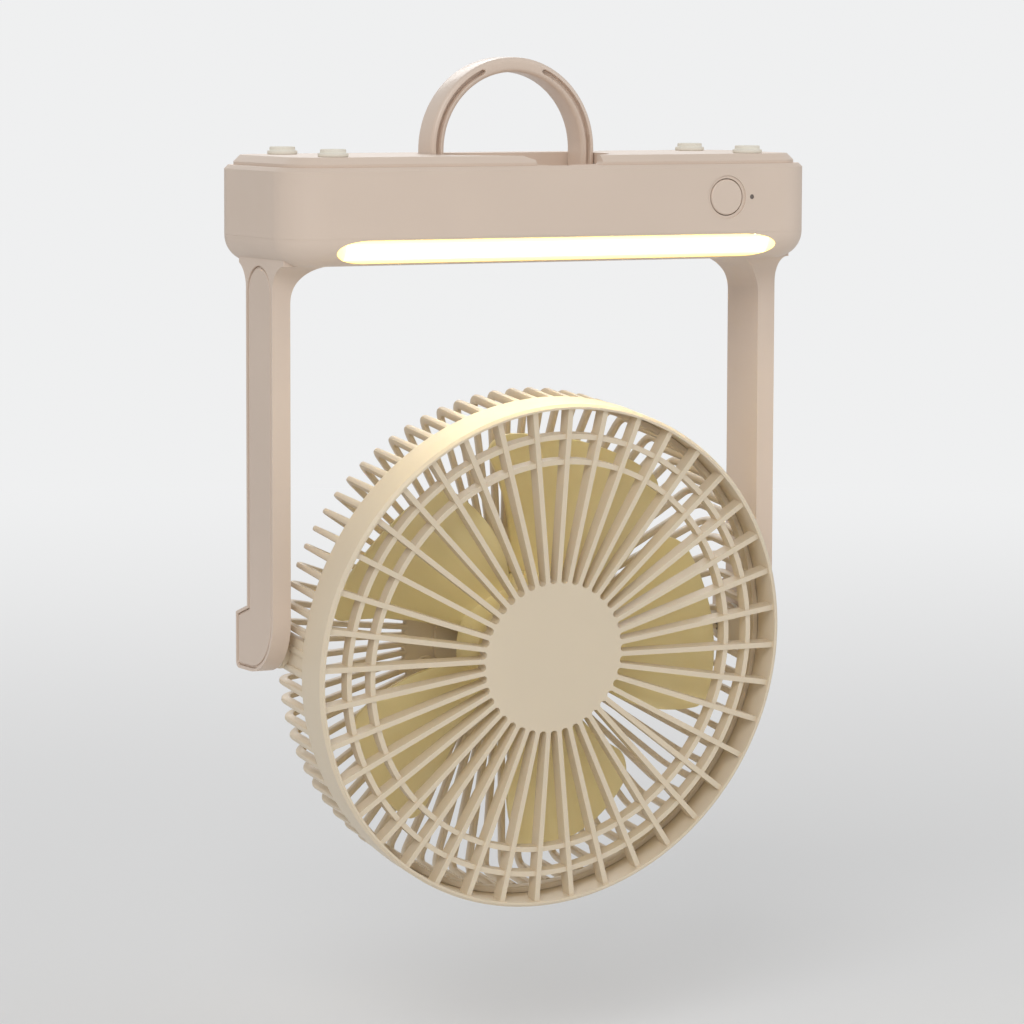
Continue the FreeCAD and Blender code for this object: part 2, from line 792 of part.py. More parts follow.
def lower_housing():
    """Lower casing: tray with round edges, a tongue into the upper casing and the strip's slot."""
    shell = tray_form().cut(tray_room(tray_wall))
    tongue_inset = housing_wall + tongue_gap
    tongue = base_block(tongue_inset, parting_z, parting_z + tray_tongue)
    tongue = tongue.fuse(base_block(tray_wall / 2, parting_z - 1.5, parting_z))
    tongue = tongue.cut(base_block(tongue_inset + 1.4, parting_z - 3, parting_z + tray_tongue + 1))
    posts = []
    for x, y in tray_screw_places():
        posts.append(rod(3.4, Vec(x, y, underside_z + tray_wall / 2), upward, upper_height - 6))
    body = shell.fuse([tongue] + posts)
    holes = [strip_prism(strip_gap, front_y - 1, front_y + tray_height)]
    for x, y in tray_screw_places():
        below = Vec(x, y, underside_z - 1)
        holes.append(screw_rod(screw_radius, below, upward, upper_height))
        holes.append(screw_rod(screw_head_radius + 0.2, below, upward, 1 + screw_recess))
    for side in (1, -1):
        holes.append(box(*sorted((side * (arm_outer - 2.0), side * (arm_outer - 5.0))), -3.5, 3.5,
                         underside_z - 1, parting_z))
    return body.cut(holes).removeSplitter()


def tray_screw_places():
    """Where the four casing screws stand, hidden under the back half."""
    x = base_width / 2 - base_corner - 14.0
    return [(sx * x, y) for sx in (1, -1) for y in (back_y - 13.0, back_y - 40.0)]


def led_diffuser():
    """Milky strip that fills the slot and follows the casing's round edge."""
    shell = tray_form().cut(tray_room(tray_wall))
    return shell.common(strip_prism(0, front_y - 1, front_y + tray_height))


def led_board():
    """Narrow board behind the strip, leaning with the casing's edge, with its row of chips."""
    length = 2 * (strip_half_length - strip_nose_length)
    board = box(-length / 2, length / 2, 0, led_board_wall, -led_board_width / 2, led_board_width / 2)
    pitch = length / led_count
    chips = []
    for i in range(led_count):
        x = -length / 2 + pitch * (i + 0.5)
        chips.append(box(x - 1.4, x + 1.4, -0.7, 0, -1.4, 1.4))
    body = board.fuse(chips)
    body.rotate(Vec(0, 0, 0), Vec(1, 0, 0), 45)
    middle = tray_height - tray_wall - 2.6
    body.translate(Vec(0, front_y + tray_height - middle * 0.7, parting_z - middle * 0.7))
    return body


def cell_places():
    """Start points of the four cells, two end to end in two rows."""
    z = underside_z + tray_wall + cradle_wall + cell_radius
    rows = (back_y - 14.5, back_y - 14.5 - 2 * cell_radius - cell_gap)
    return [Vec(x, y, z) for y in rows for x in (-cell_length - cell_gap / 2, cell_gap / 2)]


def battery_cells():
    """Four round cells lying along the base."""
    cells = []
    for place in cell_places():
        cells.append(rod(cell_radius, place, Vec(1, 0, 0), cell_length))
    return Part.makeCompound(cells)


def battery_cradle():
    """Open tray with round troughs that the cells lie in."""
    z0 = underside_z + tray_wall
    places = cell_places()
    ys = [p.y for p in places]
    x1 = cell_length + cell_gap + 2
    block = box(-x1, x1, min(ys) - cell_radius - cradle_wall, max(ys) + cell_radius + cradle_wall,
                z0, z0 + cradle_wall + cell_radius * 0.7)
    block = block.common(tray_room(tray_wall + 0.1))
    troughs = []
    for y in sorted(set(ys)):
        troughs.append(rod(cell_radius + 0.05, Vec(-cell_length - cell_gap, y, places[0].z), Vec(1, 0, 0),
                           2 * (cell_length + cell_gap)))
    return block.cut(troughs)


def control_board():
    """Upright board behind the front wall, with its parts."""
    y0 = front_y + board_setback
    z1 = -2.6
    z0 = z1 - board_height
    x0 = button_x - 20.0
    board = box(x0, x0 + board_width, y0, y0 + board_wall, z0, z1)
    chips = [
        box(x0 + 3, x0 + 10, y0 + board_wall, y0 + board_wall + 1.6, z0 + 4, z0 + 11),
        box(x0 + 13, x0 + 19, y0 + board_wall, y0 + board_wall + 4.0, z0 + 5, z0 + 11),
        rod(2.5, Vec(x0 + 25, y0 + board_wall, z0 + 6), to_back, 6.0),
    ]
    return board.fuse(chips)


def push_switch():
    """Small switch on the board, behind the button, with room for its plunger."""
    y1 = front_y + board_setback
    y0 = y1 - switch_height
    half = switch_size / 2
    body = box(button_x - half, button_x + half, y0, y1, button_z - half, button_z + half)
    room = 1 + plunger_overlap + button_travel + 0.3
    return body.cut(rod(plunger_radius + 0.1, Vec(button_x, y0 - 1, button_z), to_back, room))


def switch_plunger():
    """The switch's plunger, which the button presses."""
    y0 = front_y + button_depth
    y1 = front_y + board_setback - switch_height + plunger_overlap
    return rod(plunger_radius, Vec(button_x, y0, button_z), to_back, y1 - y0)


def power_button():
    """Round button, flush with the front, with a flange behind the wall."""
    face_y = front_y + 0.1
    cap = rod(button_radius, Vec(button_x, face_y, button_z), to_back, button_depth - 0.1)
    rim = [e for e in cap.Edges if abs(e.CenterOfMass.y - face_y) < 1e-6 and e.Length > button_radius]
    cap = cap.makeChamfer(0.4, rim)
    flange = rod(button_radius + button_flange, Vec(button_x, front_y + housing_wall + 0.1, button_z),
                 to_back, button_depth - housing_wall - 0.1)
    return cap.fuse(flange).removeSplitter()


def indicator_lens():
    """Clear pin that carries the pilot light to the front."""
    start = Vec(pilot_x, front_y + 0.2, button_z)
    return rod(pilot_radius - 0.05, start, to_back, board_setback - 0.2)


def rubber_feet():
    """Four two-tier feet on the cover, for standing the fan on its base."""
    feet = []
    for sx in (1, -1):
        for sy in (1, -1):
            at = Vec(sx * foot_x, sy * foot_y, cover_top_z)
            low = rod(foot_base_radius, at, upward, foot_height / 2)
            high = rod(foot_tip_radius, at, upward, foot_height)
            feet.append(low.fuse(high).removeSplitter())
    return Part.makeCompound(feet)


def casing_screws():
    """Four screws that close the lower casing."""
    screws = []
    for x, y in tray_screw_places():
        seat = Vec(x, y, underside_z + screw_recess)
        shank = screw_rod(screw_radius - 0.02, seat, upward, 12.0)
        head = screw_rod(screw_head_radius, seat, Vec(0, 0, -1), screw_recess - 0.1)
        screws.append(shank.fuse(head))
    return Part.makeCompound(screws)


# Arms

def boot_corner_z():
    """Height where the boot's back edge begins."""
    return boot_bottom + boot_step_height


def arm_side_face(inset, top_edges):
    """Side view of an arm in the YZ plane, drawn in by an inset; the top is closed by given edges."""
    front = arm_front + inset
    back = arm_back - inset
    heel = boot_back - inset
    bottom = boot_bottom + inset
    big = boot_front_radius - inset
    small = max(boot_back_radius - inset, 0.4)
    turn = math.sqrt(0.5)
    step_z = boot_corner_z() - inset * 0.7
    facet_z = step_z + boot_facet_rise
    front_centre = Vec(0, front + big, bottom + big)
    heel_centre = Vec(0, heel - small, bottom + small)
    top_front, top_back = top_edges[0].Vertexes[0].Point, top_edges[-1].Vertexes[-1].Point
    edges = list(top_edges)
    edges.append(line(top_back, Vec(0, back, facet_z)))
    edges.append(line(Vec(0, back, facet_z), Vec(0, heel, step_z)))
    edges.append(line(Vec(0, heel, step_z), Vec(0, heel, heel_centre.z)))
    edges.append(arc(Vec(0, heel, heel_centre.z), heel_centre + Vec(0, small * turn, -small * turn),
                     Vec(0, heel_centre.y, bottom)))
    edges.append(line(Vec(0, heel_centre.y, bottom), Vec(0, front_centre.y, bottom)))
    edges.append(arc(Vec(0, front_centre.y, bottom), front_centre + Vec(0, -big * turn, -big * turn),
                     Vec(0, front, front_centre.z)))
    edges.append(line(Vec(0, front, front_centre.z), top_front))
    return Part.Face(Part.Wire(edges))


def arm_blank_side():
    """Side view with the root flared out to the casing."""
    r = arm_root_flare
    turn = 1 - math.sqrt(0.5)
    z_low = underside_z - r
    z_high = underside_z
    z_top = parting_z - 1.0
    front, back = arm_front, arm_back
    edges = [
        arc(Vec(0, front, z_low), Vec(0, front - r * turn, z_low + r * (1 - turn)),
            Vec(0, front - r, z_high)),
        line(Vec(0, front - r, z_high), Vec(0, front - r, z_top)),
        line(Vec(0, front - r, z_top), Vec(0, back + 0.6 * r, z_top)),
        line(Vec(0, back + 0.6 * r, z_top), Vec(0, back + 0.6 * r, z_high)),
        arc(Vec(0, back + 0.6 * r, z_high),
            Vec(0, back + 0.6 * r * turn, z_low + r * (1 - turn) - 0.4), Vec(0, back, z_low)),
    ]
    return arm_side_face(0, edges)


def arm_front_view():
    """Front view of the right arm: straight outside, filleted into the casing inside."""
    r = arm_root_fillet
    z_low = underside_z - r
    turn = 1 - math.sqrt(0.5)
    y0 = -60.0
    bottom = boot_bottom - 1
    z_top = parting_z
    wire = Part.Wire([
        line(Vec(arm_inner, y0, bottom), Vec(arm_outer, y0, bottom)),
        line(Vec(arm_outer, y0, bottom), Vec(arm_outer, y0, z_top)),
        line(Vec(arm_outer, y0, z_top), Vec(arm_inner - r, y0, z_top)),
        line(Vec(arm_inner - r, y0, z_top), Vec(arm_inner - r, y0, underside_z)),
        arc(Vec(arm_inner - r, y0, underside_z), Vec(arm_inner - r * turn, y0, underside_z - r * turn),
            Vec(arm_inner, y0, z_low)),
        line(Vec(arm_inner, y0, z_low), Vec(arm_inner, y0, bottom)),
    ])
    return Part.Face(wire).extrude(Vec(0, 120, 0))


def arch_top(inset):
    """Arched top of the cover panel, in the YZ plane."""
    radius = arm_width / 2 - inset
    z_spring = underside_z - cover_top_drop - (arm_width / 2 - cover_rim - cover_groove)
    return [arc(Vec(0, arm_middle_y - radius, z_spring), Vec(0, arm_middle_y, z_spring + radius),
                Vec(0, arm_middle_y + radius, z_spring))]


def cover_panel_face(inset):
    """Outline of the cover panel."""
    return arm_side_face(inset, arch_top(inset))


def arm():
    """The right arm: a channel with a flared root, a wire channel and the boot of the tilt hinge."""
    side = arm_blank_side()
    side.translate(Vec(arm_inner - arm_root_fillet - 1, 0, 0))
    blank = side.extrude(Vec(arm_thickness + arm_root_fillet + 2, 0, 0)).common(arm_front_view())
    recess = cover_panel_face(cover_rim)
    recess.translate(Vec(arm_outer - cover_thickness, 0, 0))
    recess = recess.extrude(Vec(cover_thickness + 1, 0, 0))
    half = wire_channel_width / 2
    floor_x = arm_inner + wire_channel_floor
    channel = box(floor_x, arm_outer + 1, -half, half, pivot_z, underside_z - 10)
    hinge_room = rod(pivot_head_radius + 0.8, Vec(floor_x, pivot_y, pivot_z), Vec(1, 0, 0), 10)
    riser = box(arm_outer - 5.0, arm_outer - 2.0, -half, half, underside_z - 12, parting_z)
    bore = rod(pivot_radius + pivot_bore_gap, Vec(arm_inner - 1, pivot_y, pivot_z), Vec(1, 0, 0), 10)
    return blank.cut([recess, channel, hinge_room, bore, riser, tray_form()])


def arm_cover():
    """The right arm's outer panel, set into its rim with a shadow groove round it."""
    panel = cover_panel_face(cover_rim + cover_groove)
    panel.translate(Vec(arm_outer - cover_thickness, 0, 0))
    body = panel.extrude(Vec(cover_thickness - 0.1, 0, 0))
    seat = cover_panel_face(cover_rim + 0.1)
    seat.translate(Vec(arm_outer - cover_thickness, 0, 0))
    return body.fuse(seat.extrude(Vec(0.5, 0, 0)))


def motor_lead():
    """The lead inside the right arm, from the casing down to the tilt hinge."""
    x = arm_outer - 3.5
    top = parting_z - 2.0
    low = pivot_z + pivot_head_radius + 3.0
    return rod(lead_radius, Vec(x, 0, low), upward, top - low)


# Hanging ring

def ring_section_ring(radius_out, radius_in, y0, y1):
    """An arch with straight limbs, between two radii and two depths."""
    low = ring_hinge_z
    arch = tube(radius_out, radius_in, Vec(0, y0, ring_centre_z), to_back, y1 - y0)
    arch = arch.cut(box(-100, 100, y0 - 1, y1 + 1, ring_centre_z - 100, ring_centre_z))
    limbs = []
    for side in (1, -1):
        x0, x1 = sorted((side * radius_in, side * radius_out))
        limbs.append(box(x0, x1, y0, y1, low, ring_centre_z))
    return arch.fuse(limbs)


def hanger_ring():
    """Folding ring: an arch with a groove along each limb and a slightly flattened top."""
    y0 = ring_hinge_y - ring_depth / 2
    y1 = ring_hinge_y + ring_depth / 2
    body = ring_section_ring(ring_outer_radius, ring_inner_radius, y0, y1)
    feet = []
    for side in (1, -1):
        start = Vec(side * ring_inner_radius, ring_hinge_y, ring_hinge_z)
        feet.append(rod(ring_depth / 2, start, Vec(side, 0, 0), ring_thickness))
    body = body.fuse(feet)
    middle = (ring_outer_radius + ring_inner_radius) / 2
    half = ring_groove_width / 2
    cuts = []
    stop = math.radians(90 - ring_groove_stop)
    for y_low, y_high in ((y0 - 1, y0 + ring_groove_depth), (y1 - ring_groove_depth, y1 + 1)):
        channel = ring_section_ring(middle + half, middle - half, y_low, y_high)
        far_x, far_z = 100 * math.cos(stop), ring_centre_z + 100 * math.sin(stop)
        keep_out = polygon([
            Vec(0, y_low - 1, ring_centre_z), Vec(far_x, y_low - 1, far_z), Vec(-far_x, y_low - 1, far_z),
        ]).extrude(to_back * (y_high - y_low + 2))
        channel = channel.cut(keep_out)
        for side in (1, -1):
            end = Vec(side * middle * math.cos(stop), y_low, ring_centre_z + middle * math.sin(stop))
            channel = channel.fuse(rod(half, end, to_back, y_high - y_low))
        cuts.append(channel)
    scoop_angle = math.radians(ring_scoop_half_angle)
    chord = ring_outer_radius * math.sin(scoop_angle)
    scoop_radius = (chord ** 2 + ring_scoop ** 2) / (2 * ring_scoop)
    for y_edge, lean in ((y0, -1), (y1, 1)):
        centre = Vec(0, y_edge - lean * 3.2, ring_apex_height + scoop_radius - ring_scoop * 0.4)
        direction = Vec(0, lean, -0.55)
        cuts.append(rod(scoop_radius, centre, direction, 20))
    for side in (1, -1):
        start = Vec(side * (ring_inner_radius - 1), ring_hinge_y, ring_hinge_z)
        cuts.append(rod(ring_pin_radius + running_gap, start, Vec(side, 0, 0), ring_thickness + 2))
    return body.cut(cuts)


def ring_pins():
    """Two steel pins on which the ring folds, held in the cover's bosses."""
    pins = []
    for side in (1, -1):
        start = Vec(side * (ring_inner_radius + 0.4), ring_hinge_y, ring_hinge_z)
        pins.append(rod(ring_pin_radius - 0.02, start, Vec(side, 0, 0),
                        ring_thickness + pocket_gap + ring_pin_reach - 0.8))
    return Part.makeCompound(pins)


def write(name, shape):
    """Move a finished piece to the hanging point's frame and write it."""
    placed = shape.copy()
    placed.translate(hang_point * -1)
    placed.exportStep("parts/" + name + ".step")
    solids = placed.Solids
    volume = sum(s.Volume for s in solids)
    print(f"{name}: {len(solids)} solid(s), {volume / 1000:.2f} cm3, valid {placed.isValid()}")


def both_sides(shape):
    """A piece and its mirrored twin as one group."""
    return Part.makeCompound([shape, mirrored(shape)])


base_pieces = {
    "upper_housing": upper_housing,
    "lower_housing": lower_housing,
    "top_cover": top_cover,
    "rubber_feet": rubber_feet,
    "led_diffuser": led_diffuser,
    "led_board": led_board,
    "battery_cells": battery_cells,
    "battery_cradle": battery_cradle,
    "control_board": control_board,
    "push_switch": push_switch,
    "switch_plunger": switch_plunger,
    "power_button": power_button,
    "indicator_lens": indicator_lens,
    "charging_port": charging_port,
    "casing_screws": casing_screws,
    "hanger_ring": hanger_ring,
    "ring_pins": ring_pins,
    "motor_lead": motor_lead,
    "right_arm": arm,
    "right_arm_cover": arm_cover,
}

head_pieces = {
    "front_grille": front_grille,
    "rear_basket": rear_basket,
    "rear_cap": rear_cap,
    "motor_flange": motor_flange,
    "motor_stator": motor_stator,
    "motor_bearings": motor_bearings,
    "motor_screws": motor_screws,
    "motor_shaft": motor_shaft,
    "rotor_can": rotor_can,
    "rotor_magnet": rotor_magnet,
    "impeller": impeller,
    "shaft_clip": shaft_clip,
}

os.makedirs("parts", exist_ok=True)
for piece_name, make in base_pieces.items():
    write(piece_name, make())
write("left_arm", mirrored(arm()))
write("left_arm_cover", mirrored(arm_cover()))
for piece_name, make in head_pieces.items():
    write(piece_name, head_to_pose(make()))
write("pivot_shafts", head_to_pose(both_sides(pivot_shaft())))
write("friction_washers", head_to_pose(both_sides(friction_washer())))
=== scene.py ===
"""Looks of a hanging camping fan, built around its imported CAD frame.

Every length is in metres in the frame of the CAD: the origin is the point of the ring
where the fan hangs, +X runs to the right of the front, +Y to the back and +Z up.
"""

from __future__ import annotations

import json
import logging
import math
from dataclasses import dataclass
from enum import Enum
from typing import Callable, Sequence, Union

import bpy
from mathutils import Matrix, Vector

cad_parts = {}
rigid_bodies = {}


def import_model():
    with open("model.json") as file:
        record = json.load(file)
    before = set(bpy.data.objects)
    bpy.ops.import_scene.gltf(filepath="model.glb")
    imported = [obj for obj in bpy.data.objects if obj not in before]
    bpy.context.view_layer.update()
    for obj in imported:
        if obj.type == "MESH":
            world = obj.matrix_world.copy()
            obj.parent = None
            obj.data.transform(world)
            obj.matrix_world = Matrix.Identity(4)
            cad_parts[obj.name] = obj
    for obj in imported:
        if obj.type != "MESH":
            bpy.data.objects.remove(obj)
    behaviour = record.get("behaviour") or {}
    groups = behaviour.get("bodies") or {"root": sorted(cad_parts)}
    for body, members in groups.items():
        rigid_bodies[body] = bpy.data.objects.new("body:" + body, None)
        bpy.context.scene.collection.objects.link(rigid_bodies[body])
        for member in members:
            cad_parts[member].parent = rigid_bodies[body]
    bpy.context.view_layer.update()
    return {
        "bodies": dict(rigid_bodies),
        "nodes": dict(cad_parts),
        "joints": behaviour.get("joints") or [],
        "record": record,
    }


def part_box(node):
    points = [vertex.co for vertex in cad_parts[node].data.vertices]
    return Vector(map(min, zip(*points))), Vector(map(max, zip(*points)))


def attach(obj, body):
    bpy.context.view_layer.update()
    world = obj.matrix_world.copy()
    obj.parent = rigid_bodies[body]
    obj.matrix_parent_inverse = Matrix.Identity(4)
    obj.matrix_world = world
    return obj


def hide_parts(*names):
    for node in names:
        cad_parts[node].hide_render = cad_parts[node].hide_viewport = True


LOG = logging.getLogger("camping_fan")
MM = 0.001
Colour = tuple[float, float, float]
Point = tuple[float, float, float]
Piece = bpy.types.Object
Material = bpy.types.Material
Socket = bpy.types.NodeSocket
Nodes = dict[str, Piece]


class Body(Enum):
    """The rigid bodies of the fan that a piece can ride on."""

    BASE = "base"
    HANGER = "hanger"
    BUTTON = "button"
    FAN_HEAD = "fan_head"
    ROTOR = "rotor"


class Signal:
    """A number or socket in a material, which Python's operators combine into Math nodes."""

    def __init__(self, graph: Graph, source: Union[Socket, float]) -> None:
        """Keep the graph that new nodes go into and an output socket or a plain number."""
        self.graph = graph
        self.source = source

    def _combine(self, operation: str, first: object, second: object) -> Signal:
        """Add one Math node for two operands, each a signal or a number, and give its result."""
        node = self.graph.node("ShaderNodeMath", {"operation": operation}, {0: first, 1: second})
        return Signal(self.graph, node.outputs[0])

    def __add__(self, other: object) -> Signal:
        """Sum."""
        return self._combine("ADD", self, other)

    def __mul__(self, other: object) -> Signal:
        """Product."""
        return self._combine("MULTIPLY", self, other)

    def __sub__(self, other: object) -> Signal:
        """Difference."""
        return self._combine("SUBTRACT", self, other)

    def __rsub__(self, other: object) -> Signal:
        """Difference, the other way round."""
        return self._combine("SUBTRACT", other, self)

    def __truediv__(self, other: object) -> Signal:
        """Quotient."""
        return self._combine("DIVIDE", self, other)

    def __pow__(self, other: object) -> Signal:
        """Power."""
        return self._combine("POWER", self, other)

    def __abs__(self) -> Signal:
        """Size without sign."""
        return self._combine("ABSOLUTE", self, 0.0)

    def larger(self, other: object) -> Signal:
        """The larger of the two."""
        return self._combine("MAXIMUM", self, other)

    def step(self, low: float, high: float) -> Signal:
        """A smooth step from 0 at low to 1 at high.

        Args:
            low: Where the step starts.
            high: Where it ends.

        Returns:
            The step's value, held between 0 and 1.
        """
        inputs = {"Value": self, "From Min": low, "From Max": high}
        node = self.graph.node("ShaderNodeMapRange", {"interpolation_type": "SMOOTHSTEP"}, inputs)
        return Signal(self.graph, node.outputs["Result"])


class Graph:
    """The nodes of a material or of the surroundings."""

    def __init__(self, owner: Union[Material, bpy.types.World]) -> None:
        """Empty the owner's node tree.

        Args:
            owner: The material or world.
        """
        owner.use_nodes = True
        self.tree = owner.node_tree
        self.tree.nodes.clear()

    def node(self, kind: str, settings: dict[str, object], inputs: dict[object, object]) -> bpy.types.Node:
        """Add a node.

        Args:
            kind: The node's type.
            settings: Properties, set before the inputs.
            inputs: Values, sockets or signals by input name or number.

        Returns:
            The new node.
        """
        made = self.tree.nodes.new(kind)
        for key, value in settings.items():
            setattr(made, key, value)
        for key, value in inputs.items():
            self.feed(made.inputs[key], value)
        return made

    def feed(self, socket: Socket, value: object) -> None:
        """Link or set an input.

        Args:
            socket: The input.
            value: A signal, an output socket, a number or a colour.
        """
        if isinstance(value, Signal):
            value = value.source
        if isinstance(value, Socket):
            self.tree.links.new(value, socket)
        elif isinstance(value, tuple) and socket.type == "RGBA":
            socket.default_value = (*value, 1.0)
        else:
            socket.default_value = value


class Surface(Graph):
    """One material's nodes, with a Principled shader at the end."""

    def __init__(self, name: str) -> None:
        """Start an empty material.

        Args:
            name: The material's name.
        """
        self.material = bpy.data.materials.new(name)
        super().__init__(self.material)
        self.shader = self.node("ShaderNodeBsdfPrincipled", {}, {})
        self.output = self.node("ShaderNodeOutputMaterial", {}, {"Surface": self.shader.outputs["BSDF"]})
        self.place = self.node("ShaderNodeTexCoord", {}, {}).outputs["Object"]

    def set(self, **values: object) -> None:
        """Feed the Principled shader, its input names written with underscores."""
        for name, value in values.items():
            self.feed(self.shader.inputs[name.replace("_", " ")], value)

    def noise(self, scale: float, detail: float = 3.0, roughness: float = 0.55,
              stretch: Point = (1.0, 1.0, 1.0)) -> Signal:
        """Soft noise over the object's own coordinates.

        Args:
            scale: Blots to the metre.
            detail: How many finer layers are added.
            roughness: How strong the finer layers are.
            stretch: Scale along each axis, for drawn-out noise.

        Returns:
            The noise, around a half.
        """
        mapped = self.node("ShaderNodeMapping", {}, {"Vector": self.place, "Scale": stretch})
        inputs = {"Vector": mapped.outputs[0], "Scale": scale, "Detail": detail, "Roughness": roughness}
        made = self.node("ShaderNodeTexNoise", {}, inputs)
        return Signal(self, made.outputs["Fac"])

    def coordinate(self, axis: str) -> Signal:
        """One of the object's coordinates, X, Y or Z."""
        split = self.node("ShaderNodeSeparateXYZ", {}, {0: self.place})
        return Signal(self, split.outputs[axis])

    def blend(self, amount: object, low: object, high: object) -> Socket:
        """Mix two colours: an amount of 0 gives the low one, and 1 the high one."""
        made = self.node("ShaderNodeMix", {"data_type": "RGBA"}, {"Factor": amount, 6: low, 7: high})
        return made.outputs[2]

    def bump(self, height: Signal, depth: float) -> None:
        """Raise the surface by a height signal, whose 1 stands for the depth in metres."""
        made = self.node("ShaderNodeBump", {}, {"Strength": 1.0, "Distance": depth, "Height": height})
        self.set(Normal=made.outputs["Normal"])


def shade(colour: Colour, factor: float) -> Colour:
    """A colour with each channel multiplied by a factor and held under 1."""
    return tuple(min(1.0, channel * factor) for channel in colour)


@dataclass(frozen=True)
class Finish:
    """The finish of a surface."""

    name: str

    def material(self) -> Material:
        """Make the material.

        Returns:
            The finished material.
        """
        surface = Surface(self.name)
        self.paint(surface)
        return surface.material

    def paint(self, surface: Surface) -> None:
        """Leave the surface plain."""


@dataclass(frozen=True)
class MouldedPlastic(Finish):
    """Injection-moulded plastic with a fine spark-eroded grain and faint flow clouds."""

    colour: Colour
    roughness: float = 0.42
    grain_per_metre: float = 3200.0
    grain_depth: float = 0.012 * MM
    cloud: float = 0.035
    coat: float = 0.0
    translucence: float = 0.0

    def paint(self, surface: Surface) -> None:
        """Speckle and cloud the colour and grain the surface.

        Args:
            surface: The material's nodes.
        """
        clouds = surface.noise(14.0, 2.0)
        fine = surface.noise(self.grain_per_metre, 2.0, 0.6)
        handling = surface.noise(75.0, 5.0, 0.62)
        tone = clouds.step(0.34, 0.66) * 0.7 + fine * 0.3
        low = shade(self.colour, 1.0 - self.cloud)
        high = shade(self.colour, 1.0 + self.cloud * 0.6)
        surface.set(Base_Color=surface.blend(tone, low, high))
        surface.set(Roughness=handling.step(0.35, 0.7) * 0.09 + fine * 0.05 + (self.roughness - 0.06))
        surface.set(IOR=1.49, Coat_Weight=self.coat, Coat_Roughness=0.18)
        if self.translucence > 0:
            surface.set(Subsurface_Weight=self.translucence, Subsurface_Scale=1.0)
            surface.set(Subsurface_Radius=(2.2 * MM, 1.7 * MM, 1.1 * MM))
        surface.bump(fine * 0.8 + handling * 0.2, self.grain_depth)


@dataclass(frozen=True)
class LitDiffuser(Finish):
    """Milky light strip: a white core that turns yellow and dimmer to its edge."""

    strength: float = 68.0
    core: Colour = (1.0, 0.89, 0.50)
    halo: Colour = (0.040, 0.033, 0.0125)
    rim: Colour = (0.0172, 0.0142, 0.0032)
    edge: Colour = (0.0126, 0.0092, 0.0012)
    middle_height: float = -63.5 * MM
    half_height: float = 4.2 * MM
    half_length: float = 90.0 * MM

    def paint(self, surface: Surface) -> None:
        """Let the strip shine by the distance from its middle line.

        Args:
            surface: The material's nodes.
        """
        along = abs(surface.coordinate("X")) / self.half_length
        across = abs(surface.coordinate("Z") - self.middle_height) / self.half_height
        ripple = surface.noise(60.0, 2.0) * 0.04 - 0.02
        outward = across.larger(along.step(0.90, 1.0)) + ripple
        stops = ((0.0, self.core), (0.38, self.core), (0.56, self.halo), (0.74, self.rim), (1.0, self.edge))
        ramp = surface.node("ShaderNodeValToRGB", {}, {"Fac": outward})
        elements = ramp.color_ramp.elements
        while len(elements) < len(stops):
            elements.new(0.5)
        for element, (place, colour) in zip(elements, stops):
            element.position = place
            element.color = (*colour, 1.0)
        surface.set(Base_Color=(0.93, 0.90, 0.82), Roughness=surface.noise(900.0, 2.0) * 0.08 + 0.30)
        surface.set(Emission_Color=ramp.outputs["Color"], Emission_Strength=self.strength)
        surface.bump(surface.noise(2600.0, 2.0), 0.008 * MM)


@dataclass(frozen=True)
class SoftRubber(Finish):
    """Pale moulded rubber with a dry skin and a little lint."""

    colour: Colour
    roughness: float = 0.78

    def paint(self, surface: Surface) -> None:
        """Give the rubber its skin and its lint.

        Args:
            surface: The material's nodes.
        """
        skin = surface.noise(1900.0, 4.0, 0.7)
        lint = surface.noise(420.0, 6.0, 0.8).step(0.62, 0.74)
        base = surface.blend(skin, shade(self.colour, 0.93), shade(self.colour, 1.04))
        surface.set(Base_Color=surface.blend(lint * 0.25, base, (0.93, 0.92, 0.90)))
        surface.set(Roughness=skin * 0.12 + (self.roughness - 0.05), IOR=1.52)
        surface.bump(skin, 0.03 * MM)


@dataclass(frozen=True)
class TurnedSteel(Finish):
    """Bare or plated steel with fine tool marks drawn out along one axis."""

    colour: Colour = (0.58, 0.57, 0.56)
    roughness: float = 0.28
    marks: Point = (1.0, 30.0, 30.0)

    def paint(self, surface: Surface) -> None:
        """Draw the tool marks and a few stains.

        Args:
            surface: The material's nodes.
        """
        lines = surface.noise(160.0, 4.0, 0.7, self.marks)
        stain = surface.noise(60.0, 4.0).step(0.45, 0.8)
        base = surface.blend(lines, shade(self.colour, 0.82), shade(self.colour, 1.12))
        surface.set(Base_Color=surface.blend(stain * 0.3, base, shade(self.colour, 0.7)), Metallic=1.0)
        surface.set(Roughness=lines * 0.16 + stain * 0.08 + (self.roughness - 0.08))
        surface.bump(lines, 0.01 * MM)


@dataclass(frozen=True)
class CircuitBoard(Finish):
    """Solder mask with faint tracks and bright pads."""

    colour: Colour = (0.035, 0.16, 0.085)

    def paint(self, surface: Surface) -> None:
        """Lay out the tracks and the pads.

        Args:
            surface: The material's nodes.
        """
        inputs = {"Vector": surface.place, "Scale": 900.0, "Randomness": 0.35}
        cells = surface.node("ShaderNodeTexVoronoi", {"distance": "MANHATTAN"}, inputs)
        spots = 1.0 - Signal(surface, cells.outputs["Distance"]).step(0.18, 0.22)
        tracks = surface.noise(260.0, 1.0, 0.4, (1.0, 1.0, 6.0)).step(0.5, 0.53)
        mask = surface.blend(tracks * 0.5, self.colour, shade(self.colour, 1.8))
        surface.set(Base_Color=surface.blend(spots * 0.8, mask, (0.72, 0.66, 0.50)), Metallic=spots * 0.7)
        surface.set(Roughness=tracks * 0.1 + 0.3, IOR=1.5)
        surface.bump(tracks * 0.6 + spots * 0.4, 0.03 * MM)


